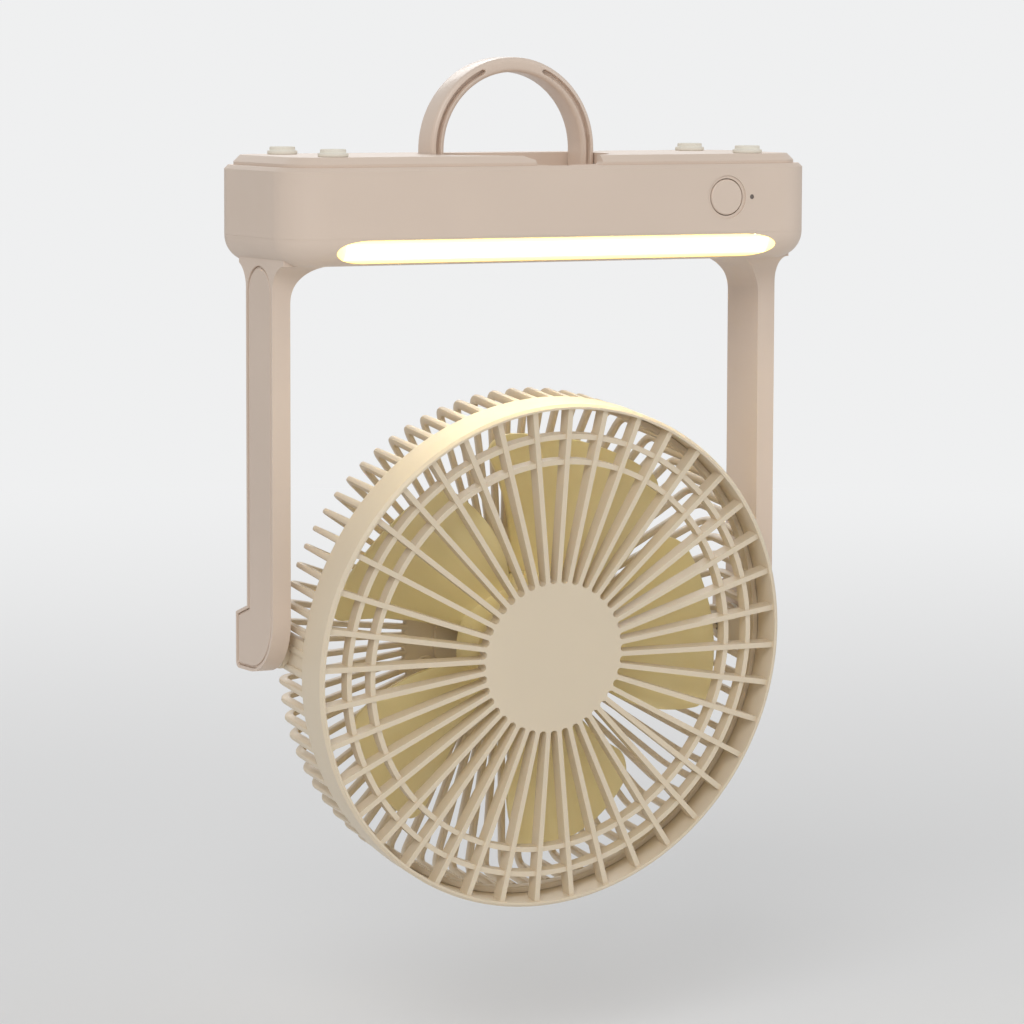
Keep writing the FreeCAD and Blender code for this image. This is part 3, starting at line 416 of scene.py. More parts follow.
@dataclass(frozen=True)
class WrappedCell(Finish):
    """Shrink wrap over a steel can, with shallow wrinkles at the ends."""

    colour: Colour = (0.10, 0.22, 0.42)
    end_at: float = 66.0 * MM

    def paint(self, surface: Surface) -> None:
        """Wrinkle the wrap, most at the ends.

        Args:
            surface: The material's nodes.
        """
        wrinkles = surface.noise(130.0, 4.0, 0.6, (0.4, 1.6, 1.6))
        near_end = abs(surface.coordinate("X")).step(self.end_at - 4 * MM, self.end_at)
        surface.set(Base_Color=surface.blend(wrinkles, shade(self.colour, 0.86), shade(self.colour, 1.12)))
        surface.set(Roughness=wrinkles * 0.12 + 0.24, IOR=1.5)
        surface.bump(wrinkles * (near_end * 0.7 + 0.3), 0.12 * MM)


@dataclass(frozen=True)
class WoundStator(Finish):
    """Copper windings, their wire drawn as noise stretched along one axis."""

    copper: Colour = (0.72, 0.33, 0.15)

    def paint(self, surface: Surface) -> None:
        """Draw the wire.

        Args:
            surface: The material's nodes.
        """
        wire = surface.noise(520.0, 3.0, 0.6, (1.0, 8.0, 1.0))
        surface.set(Base_Color=surface.blend(wire, shade(self.copper, 0.6), shade(self.copper, 1.15)))
        surface.set(Metallic=0.85, Roughness=wire * 0.2 + 0.26, Coat_Weight=0.3)
        surface.bump(wire, 0.15 * MM)


IVORY: Colour = (0.71, 0.58, 0.48)
SHELL_CREAM: Colour = (0.74, 0.63, 0.475)
# The blades' colour holds painted light: their cream plastic is brightened and turned yellower to stand in
# for the strip's warm light falling on them behind the grille.
BLADE_CREAM_WITH_PAINTED_LIGHT: Colour = (0.98, 0.84, 0.45)


def select_only(piece: Piece) -> None:
    """Leave one object selected and active, in object mode."""
    if bpy.context.object and bpy.context.object.mode != "OBJECT":
        leave_edit()
    bpy.ops.object.select_all(action="DESELECT")
    piece.select_set(True)
    bpy.context.view_layer.objects.active = piece


def leave_edit() -> None:
    """Go back to object mode."""
    bpy.ops.object.mode_set(mode="OBJECT")


def edit(piece: Piece) -> None:
    """Open one object in edit mode with all of it selected."""
    select_only(piece)
    bpy.ops.object.mode_set(mode="EDIT")
    bpy.context.tool_settings.mesh_select_mode = (True, False, False)
    bpy.ops.mesh.select_all(action="SELECT")


def select_points(piece: Piece, test: Callable[[Vector], bool]) -> None:
    """Select the points that pass a test, in edit mode.

    Args:
        piece: The object.
        test: What a point's place has to pass.
    """
    edit(piece)
    bpy.ops.mesh.select_all(action="DESELECT")
    leave_edit()
    for vertex in piece.data.vertices:
        vertex.select = test(vertex.co)
    bpy.ops.object.mode_set(mode="EDIT")


def extrude(shift: Sequence[float]) -> None:
    """Extrude what is selected by a shift."""
    bpy.ops.mesh.extrude_region_move(TRANSFORM_OT_translate={"value": shift})


def face_outwards() -> None:
    """Turn all faces of the mesh in edit mode outwards, and go back to object mode."""
    bpy.ops.mesh.select_all(action="SELECT")
    bpy.ops.mesh.normals_make_consistent(inside=False)
    leave_edit()


def settle(piece: Piece, place: Matrix) -> None:
    """Move an object by a matrix and put its place into its mesh."""
    select_only(piece)
    piece.matrix_world = place @ piece.matrix_world
    bpy.ops.object.transform_apply(location=True, rotation=True, scale=True)


def settled(name: str, scale: Point = (1.0, 1.0, 1.0)) -> Piece:
    """Name and scale the primitive that was just added, and put all of it into its mesh.

    Args:
        name: The object's name.
        scale: Its scale along its own axes.

    Returns:
        The object.
    """
    made = bpy.context.object
    made.name = name
    made.scale = scale
    bpy.ops.object.transform_apply(location=True, rotation=True, scale=True)
    return made


def block(name: str, middle: Point, size: Point) -> Piece:
    """Make a block of a size around a point."""
    bpy.ops.mesh.primitive_cube_add(size=1.0, location=middle)
    return settled(name, size)


def plate(name: str, middle: Point, size: tuple[float, float], upright: bool = False) -> Piece:
    """Make a flat rectangle.

    Args:
        name: The object's name.
        middle: Its middle.
        size: Its sizes, along X and Y, or along X and Z when it is upright.
        upright: Whether it stands across Y.

    Returns:
        The rectangle.
    """
    turn = (-math.pi / 2, 0.0, 0.0) if upright else (0.0, 0.0, 0.0)
    bpy.ops.mesh.primitive_plane_add(size=1.0, location=middle, rotation=turn)
    return settled(name, (*size, 1.0))


def rod(name: str, radius: float, length: float, middle: Point, points: int, lying: bool = False) -> Piece:
    """Make a round rod.

    Args:
        name: The object's name.
        radius: Its radius.
        length: Its length.
        middle: Its middle.
        points: How many points go round it.
        lying: Whether it lies along X and not along Z.

    Returns:
        The rod.
    """
    turn = (0.0, math.pi / 2, 0.0) if lying else (0.0, 0.0, 0.0)
    bpy.ops.mesh.primitive_cylinder_add(vertices=points, radius=radius, depth=length, location=middle,
                                        rotation=turn)
    return settled(name)


def join(pieces: Sequence[Piece], name: str) -> Piece:
    """Join objects into one.

    Args:
        pieces: The objects, the first of which stays.
        name: The name of the joined object and its mesh.

    Returns:
        The joined object.
    """
    select_only(pieces[0])
    for piece in pieces[1:]:
        piece.select_set(True)
    bpy.ops.object.join()
    pieces[0].name = name
    pieces[0].data.name = name
    return pieces[0]


def copies(piece: Piece, places: Sequence[Matrix]) -> list[Piece]:
    """Copy an object to several places, each copy with its own mesh.

    Args:
        piece: The object, which is moved to the first place.
        places: Where the object and its copies go.

    Returns:
        The object and its copies.
    """
    made = [piece]
    for _ in places[1:]:
        twin = piece.copy()
        twin.data = piece.data.copy()
        bpy.context.scene.collection.objects.link(twin)
        made.append(twin)
    for each, place in zip(made, places):
        settle(each, place)
    return made


def apply_modifier(piece: Piece, kind: str, **settings: object) -> None:
    """Add a modifier and apply it.

    Args:
        piece: The object.
        kind: The modifier's type.
        **settings: Its properties.
    """
    modifier = piece.modifiers.new(kind.title(), kind)
    for key, value in settings.items():
        setattr(modifier, key, value)
    select_only(piece)
    bpy.ops.object.modifier_apply(modifier=modifier.name)


def ease(piece: Piece, width: float, segments: int = 2, above: float = 50.0, **settings: object) -> None:
    """Round off the edges of a piece that are sharper than an angle in degrees."""
    apply_modifier(piece, "BEVEL", width=width, segments=segments, limit_method="ANGLE",
                   angle_limit=math.radians(above), **settings)


def combine(piece: Piece, other: Piece, operation: str) -> None:
    """Join (UNION) or cut (DIFFERENCE) one closed object with another, which is then removed."""
    apply_modifier(piece, "BOOLEAN", operation=operation, solver="EXACT", object=other)
    bpy.data.objects.remove(other)


def smooth(piece: Piece, below: float) -> None:
    """Smooth the faces that meet at less than an angle, in degrees."""
    select_only(piece)
    bpy.ops.object.shade_smooth_by_angle(angle=math.radians(below))


def dress(piece: Piece, material: Material) -> None:
    """Give an object one material on all its faces."""
    if not piece.material_slots:
        piece.data.materials.append(material)
    for slot in piece.material_slots:
        slot.material = material


def dress_nodes(nodes: Nodes, finishes: dict[str, Material]) -> None:
    """Dress CAD nodes that are shown as they are.

    Args:
        nodes: The CAD nodes by name.
        finishes: A material for each node's name.
    """
    for name, material in finishes.items():
        dress(nodes[name], material)
        LOG.info("%s dressed", name)


def finish_piece(piece: Piece, node: str, body: Body, material: Material) -> None:
    """Dress a piece and let it stand for a CAD node.

    Args:
        piece: The finished object.
        node: The CAD node that it replaces.
        body: The body that it rides on.
        material: The finish.
    """
    dress(piece, material)
    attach(piece, body.value)
    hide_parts(node)
    LOG.info("%s made, %d faces", piece.name, len(piece.data.polygons))


@dataclass(frozen=True)
class HeadFrame:
    """The fan head's own frame: its rim at Y = 0, its axis along +Y, tilted about its pivot."""

    pivot_depth: float = 37.5 * MM
    tilt: float = 7.0
    pivot: Point = (0.0, -3.0 * MM, -209.3 * MM)

    def place(self) -> Matrix:
        """The matrix from the head's own frame to the fan's."""
        back = Matrix.Translation((0.0, -self.pivot_depth, 0.0))
        return Matrix.Translation(self.pivot) @ Matrix.Rotation(math.radians(self.tilt), 4, "X") @ back


@dataclass
class EasedPiece:
    """A CAD piece shown through a copy with eased edges and smooth curves."""

    node: str
    body: Body
    slot: str
    ease: float = 0.3 * MM
    steps: int = 2
    sharp_above: float = 28.0
    smooth_below: float = 50.0
    merge_below: float = 0.6
    weighted: bool = True

    def build(self, source: Piece, material: Material) -> None:
        """Copy, merge, ease and dress the piece.

        Args:
            source: The CAD node's object.
            material: The finish.
        """
        piece = bpy.data.objects.new(f"{self.node}_eased", source.data.copy())
        bpy.context.scene.collection.objects.link(piece)
        piece.data.materials.clear()
        edit(piece)
        bpy.ops.mesh.remove_doubles(threshold=0.002 * MM)
        bpy.ops.mesh.customdata_custom_splitnormals_clear()
        leave_edit()
        self.shape(piece)
        edit(piece)
        bpy.ops.mesh.dissolve_limited(angle_limit=math.radians(self.merge_below))
        leave_edit()
        ease(piece, self.ease, self.steps, self.sharp_above, use_clamp_overlap=True, miter_outer="MITER_ARC")
        smooth(piece, self.smooth_below)
        if self.weighted:
            apply_modifier(piece, "WEIGHTED_NORMAL", keep_sharp=True, weight=60)
        finish_piece(piece, self.node, self.body, material)

    def shape(self, piece: Piece) -> None:
        """Leave the copy's form as it is."""


@dataclass
class GrilleShell(EasedPiece):
    """The front shell, with the gaps' inner ends drawn in to the size of the plain disc."""

    disc_reach: float = 32.6 * MM
    disc_scale: float = 0.912

    def shape(self, piece: Piece) -> None:
        """Scale the gaps' inner ends and the hollow behind the disc towards the axis."""
        place = HeadFrame().place()
        settle(piece, place.inverted())
        select_points(piece, lambda co: math.hypot(co.x, co.z) < self.disc_reach)
        scale = (self.disc_scale, 1.0, self.disc_scale)
        bpy.ops.transform.resize(value=scale, center_override=(0.0, 0.0, 0.0))
        leave_edit()
        settle(piece, place)


@dataclass
class BladeSet(EasedPiece):
    """The impeller, with its blades drawn in to the photographed reach."""

    hub_radius: float = 31.0 * MM
    reach_scale: float = 0.82

    def shape(self, piece: Piece) -> None:
        """Scale what stands out beyond the hub towards it."""
        place = HeadFrame().place()
        settle(piece, place.inverted())
        for vertex in piece.data.vertices:
            radius = math.hypot(vertex.co.x, vertex.co.z)
            if radius > self.hub_radius:
                drawn = (self.hub_radius + (radius - self.hub_radius) * self.reach_scale) / radius
                vertex.co = (vertex.co.x * drawn, vertex.co.y, vertex.co.z * drawn)
        settle(piece, place)


@dataclass
class RearBasket:
    """The rear basket: flange, rounded ribs round the corner to the hub, and two pivot ears."""

    outer: float = 94.2 * MM
    rib_count: int = 80
    rib_phase: float = 1.5
    rib_width: float = 2.1 * MM
    rib_height: float = 3.5 * MM
    rib_round: float = 0.75 * MM
    rib_root: float = 1.35
    rib_start: float = 16.9 * MM
    corner: float = 6.0 * MM
    corner_steps: int = 5
    back: float = 42.7 * MM
    hub_back: float = 44.1 * MM
    hub_wall: float = 3.2 * MM
    hub_radius: float = 42.0 * MM
    hub_ease: float = 0.8 * MM
    opening: float = 20.0 * MM
    flange: tuple[tuple[float, float], ...] = (
        (91.0, 12.3), (93.1, 12.3), (93.1, 15.3), (94.6, 15.3), (94.6, 17.1), (91.0, 17.1))
    flange_ease: float = 0.35 * MM
    turn_steps: int = 144
    ear_depth: float = 37.5 * MM
    ear_radius: float = 7.0 * MM
    ear_faces: tuple[float, float] = (90.4 * MM, 95.4 * MM)
    ear_ease: float = 0.6 * MM
    web_front: float = 15.6 * MM
    web_outer: float = 93.4 * MM
    web_gap: float = 0.2 * MM

    def build(self, material: Material) -> None:
        """Make the basket in the head's own frame and tilt it into place.

        Args:
            material: The finish.
        """
        front = self.hub_back - self.hub_wall
        hub = ((self.opening, front), (self.hub_radius, front), (self.hub_radius, self.hub_back),
               (self.opening, self.hub_back))
        flange = [(radius * MM, depth * MM) for radius, depth in self.flange]
        rings = [self._turned("basket_flange", flange, self.flange_ease),
                 self._turned("basket_hub", hub, self.hub_ease)]
        pitch = 360.0 / self.rib_count
        angles = [math.radians(self.rib_phase + pitch * i) for i in range(self.rib_count)]
        ribs = copies(self._rib(), [Matrix.Rotation(angle, 4, "Y") for angle in angles])
        ears = copies(self._ear(), [Matrix.Identity(4), Matrix.Rotation(math.pi, 4, "Y")])
        basket = join(rings + ribs + ears, "rear_basket_shell")
        smooth(basket, 40.0)
        settle(basket, HeadFrame().place())
        finish_piece(basket, "rear_basket", Body.FAN_HEAD, material)

    def _turned(self, name: str, profile: Sequence[tuple[float, float]], width: float) -> Piece:
        """Spin a profile about the fan's axis.

        Args:
            name: The ring's name.
            profile: Points (radius, depth) in order.
            width: The width of its eased edges.

        Returns:
            The ring.
        """
        bpy.ops.mesh.primitive_circle_add(vertices=len(profile), radius=1.0, fill_type="NGON")
        ring = settled(name)
        for vertex, (radius, depth) in zip(ring.data.vertices, profile):
            vertex.co = (radius, depth, 0.0)
        edit(ring)
        bpy.ops.mesh.delete(type="ONLY_FACE")
        bpy.ops.mesh.select_all(action="SELECT")
        bpy.ops.mesh.spin(steps=self.turn_steps, angle=2 * math.pi, center=(0, 0, 0), axis=(0, 1, 0))
        bpy.ops.mesh.select_all(action="SELECT")
        bpy.ops.mesh.remove_doubles(threshold=0.005 * MM)
        face_outwards()
        ease(ring, width, above=40.0)
        return ring

    def _rib(self) -> Piece:
        """Extrude a rounded section back, spin it round the corner and run it in to the hub.

        Returns:
            The rib at angle 0.
        """
        middle = (self.outer - self.rib_height / 2, self.rib_start, 0.0)
        rib = plate("basket_rib", middle, (self.rib_height, self.rib_width), upright=True)
        edit(rib)
        bpy.ops.mesh.bevel(offset=self.rib_round, segments=2, affect="VERTICES")
        bpy.ops.mesh.select_all(action="SELECT")
        extrude((0.0, self.back - self.corner - self.rib_start, 0.0))
        bend = self.outer - self.corner
        slope = math.atan2(self.hub_back - self.back, bend - self.hub_radius)
        bpy.ops.mesh.spin(steps=self.corner_steps, angle=slope - math.pi / 2, axis=(0, 0, 1),
                          center=(bend, self.back - self.corner, 0.0))
        run = (bend - self.hub_radius + 1.0 * MM) / math.cos(slope)
        extrude(Vector((-math.cos(slope), math.sin(slope), 0.0)) * run)
        face_outwards()
        select_points(rib, lambda co: co.y < self.rib_start + 0.1 * MM and co.x > self.hub_radius)
        bpy.ops.transform.resize(value=(1.0, 1.0, self.rib_root), center_override=middle)
        leave_edit()
        return rib

    def _ear(self) -> Piece:
        """Join a round boss and its web.

        Returns:
            The right side's ear.
        """
        inner, outer = self.ear_faces
        middle = ((inner + outer) / 2, self.ear_depth, 0.0)
        boss = rod("ear_boss", self.ear_radius, outer - inner, middle, 48, lying=True)
        ease(boss, self.ear_ease, 3)
        size = (self.web_outer - inner - self.web_gap, self.ear_depth - self.web_front,
                2 * self.ear_radius - self.web_gap)
        middle = ((inner + self.web_outer) / 2, (self.web_front + self.ear_depth) / 2, 0.0)
        web = block("ear_web", middle, size)
        ease(web, 0.5 * MM)
        return join([boss, web], "basket_ear")


@dataclass
class CrossScrews:
    """Pan-head screws with a cross recess: one is modelled and copied to each place."""

    node: str
    body: Body
    places: tuple[Matrix, ...]
    head_height: float = 1.6 * MM
    shank_length: float = 5.0 * MM
    head_radius: float = 2.6 * MM
    shank_radius: float = 1.28 * MM
    sunk: float = 0.1 * MM
    recess_size: tuple[float, float] = (1.15, 0.26)
    recess_depth: float = 0.62
    recess_taper: float = 0.6

    def build(self, material: Material) -> None:
        """Make the screws.

        Args:
            material: The finish.
        """
        made = join(copies(self._screw(), self.places), f"{self.node}_crossed")
        smooth(made, 35.0)
        finish_piece(made, self.node, self.body, material)

    def _screw(self) -> Piece:
        """Bevel a head, cut its cross and add its shank.

        Returns:
            A screw whose head stands on the plane Z = 0.
        """
        height = self.head_height
        head = rod("screw_head", self.head_radius, height, (0.0, 0.0, height / 2), 32)
        select_points(head, lambda co: co.z > height * 0.9)
        bpy.ops.mesh.bevel(offset=height * 0.45, segments=4, affect="EDGES")
        leave_edit()
        for turn in (0.0, math.pi / 2):
            combine(head, self._recess(turn), "DIFFERENCE")
        middle = (0.0, 0.0, self.sunk - self.shank_length / 2)
        shank = rod("screw_shank", self.shank_radius, self.shank_length, middle, 24)
        return join([head, shank], f"{self.node}_one")

    def _recess(self, turn: float) -> Piece:
        """Make the cutter of one arm of the cross, narrower at its bottom.

        Args:
            turn: Its angle about the screw's axis.

        Returns:
            The cutter.
        """
        length, width = (share * self.head_radius for share in self.recess_size)
        size = (length, width, 2 * self.recess_depth * self.head_height)
        cutter = block("screw_recess", (0.0, 0.0, self.head_height), size)
        settle(cutter, Matrix.Rotation(turn, 4, "Z"))
        select_points(cutter, lambda co: co.z < self.head_height)
        taper = self.recess_taper
        bpy.ops.transform.resize(value=(taper, taper, 1.0), center_override=(0.0, 0.0, 0.0))
        leave_edit()
        return cutter


@dataclass
class ChargingPort:
    """The charging socket in the back wall: a rounded metal shell, a tongue and its contacts."""

    middle: Point = (60.0 * MM, 26.7 * MM, -45.7 * MM)
    width: float = 9.2 * MM
    height: float = 3.4 * MM
    depth: float = 7.0 * MM
    wall: float = 0.4 * MM
    floor: float = 1.2 * MM
    tongue: Point = (6.4 * MM, 4.8 * MM, 0.7 * MM)
    contact_count: int = 6
    contact_width: float = 0.5
    contact_length: float = 0.7
    contact_middle: float = 0.55
    contact_rise: float = 0.08 * MM
    end_pitches: float = 0.6
    gold: TurnedSteel = TurnedSteel("contact_gold", (0.83, 0.62, 0.30), 0.24)

    def build(self, shell: Material, core: Material) -> None:
        """Make the socket.

        Args:
            shell: The finish of the metal shell.
            core: The finish of the tongue.
        """
        finishes = ((self._shell(), shell), (self._tongue(), core), (self._contacts(), self.gold.material()))
        for piece, material in finishes:
            finish_piece(piece, "charging_port", Body.BASE, material)

    def _tongue(self) -> Piece:
        """Ease a block."""
        tongue = self._inside("port_tongue", self.tongue, 0.5)
        ease(tongue, 0.12 * MM)
        return tongue

    def _contacts(self) -> Piece:
        """Copy one contact along the tongue.

        Returns:
            The contacts.
        """
        width, length, thickness = self.tongue
        pitch = width / (self.contact_count + self.end_pitches)
        size = (pitch * self.contact_width, length * self.contact_length, thickness + self.contact_rise)
        contact = self._inside("port_contacts", size, self.contact_middle)
        shifts = [(i - (self.contact_count - 1) / 2) * pitch for i in range(self.contact_count)]
        return join(copies(contact, [Matrix.Translation((x, 0.0, 0.0)) for x in shifts]), "port_contacts")

    def _inside(self, name: str, size: Point, share: float) -> Piece:
        """Make a block inside the socket, its middle at a share of the tongue's length."""
        x, y, z = self.middle
        return block(name, (x, y - self.depth + self.floor + self.tongue[1] * share, z), size)

    def _shell(self) -> Piece:
        """Round a plate's corners, extrude it forward, inset its mouth and sink it.

        Returns:
            The shell.
        """
        shell = plate("port_shell", self.middle, (self.width, self.height), upright=True)
        edit(shell)
        bpy.ops.mesh.bevel(offset=self.height * 0.497, segments=8, affect="VERTICES")
        bpy.ops.mesh.select_all(action="SELECT")
        extrude((0.0, -self.depth, 0.0))
        face_outwards()
        select_points(shell, lambda co: co.y > self.middle[1] - 0.01 * MM)
        bpy.ops.mesh.inset(thickness=self.wall, depth=0.0)
        extrude((0.0, self.floor - self.depth, 0.0))
        leave_edit()
        ease(shell, 0.1 * MM)
        smooth(shell, 40.0)
        return shell


@dataclass
class BaseCasing:
    """The battery base: casing, cover, feet, button, light strip and what is inside."""

    casing: MouldedPlastic = MouldedPlastic("casing_ivory", IVORY, 0.46)
    cover: MouldedPlastic = MouldedPlastic("cover_ivory", shade(IVORY, 1.01), 0.44)
    button: MouldedPlastic = MouldedPlastic("button_ivory", shade(IVORY, 1.02), 0.36, coat=0.15)
    strip: LitDiffuser = LitDiffuser("light_strip")
    feet: SoftRubber = SoftRubber("foot_rubber", (0.86, 0.82, 0.72))
    lens: MouldedPlastic = MouldedPlastic("pilot_lens", (0.16, 0.13, 0.11), 0.16, coat=0.6)
    board: CircuitBoard = CircuitBoard("board_mask")
    cells: WrappedCell = WrappedCell("cell_wrap")
    dark: MouldedPlastic = MouldedPlastic("dark_plastic", (0.045, 0.045, 0.047), 0.5)
    plated: TurnedSteel = TurnedSteel("plated_steel")
    lead: SoftRubber = SoftRubber("lead_jacket", (0.05, 0.05, 0.05), 0.6)
    screw_places: tuple[Point, ...] = tuple(
        (side * 77.15 * MM, y, -67.9 * MM) for side in (1, -1) for y in (14.0 * MM, -13.0 * MM))
    eased: tuple[EasedPiece, ...] = (
        EasedPiece("upper_housing", Body.BASE, "casing"),
        EasedPiece("lower_housing", Body.BASE, "tray"),
        EasedPiece("top_cover", Body.BASE, "casing"),
        EasedPiece("led_diffuser", Body.BASE, "diffuser", 0.25 * MM),
        EasedPiece("rubber_feet", Body.BASE, "feet", 0.45 * MM, 3),
        EasedPiece("power_button", Body.BUTTON, "button", 0.25 * MM),
    )

    def build(self, nodes: Nodes) -> None:
        """Make and dress every piece of the base.

        Args:
            nodes: The CAD nodes by name.
        """
        casing = self.casing.material()
        finishes = {
            "upper_housing": casing,
            "lower_housing": casing,
            "top_cover": self.cover.material(),
            "led_diffuser": self.strip.material(),
            "rubber_feet": self.feet.material(),
            "power_button": self.button.material(),
        }
        for piece in self.eased:
            piece.build(nodes[piece.node], finishes[piece.node])
        board = self.board.material()
        plated = self.plated.material()
        dark = self.dark.material()
        plain = {
            "indicator_lens": self.lens.material(),
            "led_board": board,
            "control_board": board,
            "battery_cells": self.cells.material(),
            "battery_cradle": dark,
            "push_switch": dark,
            "switch_plunger": dark,
            "ring_pins": plated,
            "motor_lead": self.lead.material(),
        }
        dress_nodes(nodes, plain)
        ChargingPort().build(plated, dark)
        down = Matrix.Rotation(math.pi, 4, "X")
        places = tuple(Matrix.Translation(place) @ down for place in self.screw_places)
        CrossScrews("casing_screws", Body.BASE, places, 0.72 * MM, 12.0 * MM).build(plated)


@dataclass
class Arms:
    """The two arms with their outer panels."""

    frame: MouldedPlastic = MouldedPlastic("arm_ivory", IVORY, 0.46)
    panel: MouldedPlastic = MouldedPlastic("panel_ivory", shade(IVORY, 0.97), 0.5)

    def build(self, nodes: Nodes) -> None:
        """Make and dress both arms.

        Args:
            nodes: The CAD nodes by name.
        """
        frame = self.frame.material()
        panel = self.panel.material()
        for side in ("left", "right"):
            arm, cover = f"{side}_arm", f"{side}_arm_cover"
            EasedPiece(arm, Body.BASE, "casing", 0.35 * MM).build(nodes[arm], frame)
            EasedPiece(cover, Body.BASE, "arm_panel").build(nodes[cover], panel)


@dataclass
class HangingRing:
    """The folding ring: a rounded arch with a groove along each limb and a round foot at each pin."""

    finish: MouldedPlastic = MouldedPlastic("ring_ivory", IVORY, 0.36, coat=0.1)
    outer: float = 34.0 * MM
    thickness: float = 5.5 * MM
    depth: float = 12.2 * MM
    round_edge: float = 1.6 * MM
    centre_z: float = -28.5 * MM
    hinge_z: float = -36.0 * MM
    groove_width: float = 1.9 * MM
    groove_depth: float = 2.6 * MM
    groove_stop: float = 24.0
    groove_low: float = 2.0 * MM
    tip_share: float = 0.4
    spare: float = 1.0 * MM
    turn_steps: int = 64
    groove_steps: int = 24

    def build(self, nodes: Nodes) -> None:
        """Make and dress the ring.

        Args:
            nodes: The CAD nodes by name; not used, since the ring copies none of them.
        """
        low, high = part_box("hanger_ring")
        limb = Vector((self.outer - self.thickness / 2, (low[1] + high[1]) / 2, self.hinge_z))
        ring = self._arch(limb)
        for foot in self._feet(limb):
            combine(ring, foot, "UNION")
        for groove in self._grooves(limb):
            combine(ring, groove, "DIFFERENCE")
        ease(ring, 0.25 * MM, miter_outer="MITER_ARC")
        smooth(ring, 40.0)
        finish_piece(ring, "hanger_ring", Body.HANGER, self.finish.material())

    def _sweep(self, rise: float, steps: int, angle: float) -> None:
        """Extrude what is selected up the right limb and spin it over, in edit mode.

        Args:
            rise: How far up the arch starts.
            steps: How many steps the arch has.
            angle: How far it goes round, in radians.
        """
        bpy.ops.mesh.select_all(action="SELECT")
        extrude((0.0, 0.0, rise))
        bpy.ops.mesh.spin(steps=steps, angle=angle, center=(0.0, 0.0, self.centre_z), axis=(0, 1, 0))

    def _arch(self, limb: Vector) -> Piece:
        """Sweep the rounded section up one limb, over, and down the other.

        Args:
            limb: The middle of the right limb, at the hinge.

        Returns:
            The arch.
        """
        arch = plate("hanger_ring_shell", limb, (self.thickness, self.depth))
        edit(arch)
        bpy.ops.mesh.bevel(offset=self.round_edge, segments=4, affect="VERTICES")
        rise = self.centre_z - self.hinge_z
        self._sweep(rise, self.turn_steps, math.pi)
        extrude((0.0, 0.0, -rise))
        face_outwards()
        return arch

    def _grooves(self, limb: Vector) -> list[Piece]:
        """Make the four channels that are cut into the limbs' faces.

        Args:
            limb: The middle of the right limb, at the hinge.

        Returns:
            The cutters.
        """
        reach = self.groove_depth + self.spare
        front = limb.y - self.depth / 2 - self.spare + reach / 2
        place = (limb.x, front, limb.z - self.groove_low)
        channel = plate("ring_groove", place, (self.groove_width, reach))
        edit(channel)
        angle = math.radians(90.0 - self.groove_stop)
        self._sweep(self.centre_z - self.hinge_z + self.groove_low, self.groove_steps, angle)
        leave_edit()
        self._round_end(channel, limb.x, angle)
        over = Matrix.Translation((0.0, 2 * limb.y, 0.0)) @ Matrix.Scale(-1.0, 4, (0, 1, 0))
        across = Matrix.Scale(-1.0, 4, (1, 0, 0))
        made = copies(channel, [Matrix.Identity(4), over, across, across @ over])
        for cutter in made:
            edit(cutter)
            face_outwards()
        return made

    def _round_end(self, channel: Piece, middle: float, angle: float) -> None:
        """Round the groove's upper end.

        Args:
            channel: The cutter.
            middle: The radius of the groove's middle line.
            angle: Where the groove ends, counted from the right limb.
        """
        onward = Vector((-math.sin(angle), 0.0, math.cos(angle))) * self.groove_width * 0.5
        end = Vector((middle * math.cos(angle), 0.0, self.centre_z + middle * math.sin(angle)))
        reach = self.groove_width * 0.7
        select_points(channel, lambda co: math.hypot(co.x - end.x, co.z - end.z) < reach)
        extrude(onward)
        tip = self.tip_share
        bpy.ops.transform.resize(value=(tip, 1.0, tip), center_override=tuple(end + onward))
        leave_edit()

    def _feet(self, limb: Vector) -> list[Piece]:
        """Make the round foot at each pin.

        Args:
            limb: The middle of the right limb, at the hinge.

        Returns:
            The two feet.
        """
        foot = rod("ring_foot", self.depth / 2, self.thickness, limb, 48, lying=True)
        ease(foot, self.round_edge, 4)
        return copies(foot, [Matrix.Identity(4), Matrix.Translation((-2 * limb.x, 0.0, 0.0))])


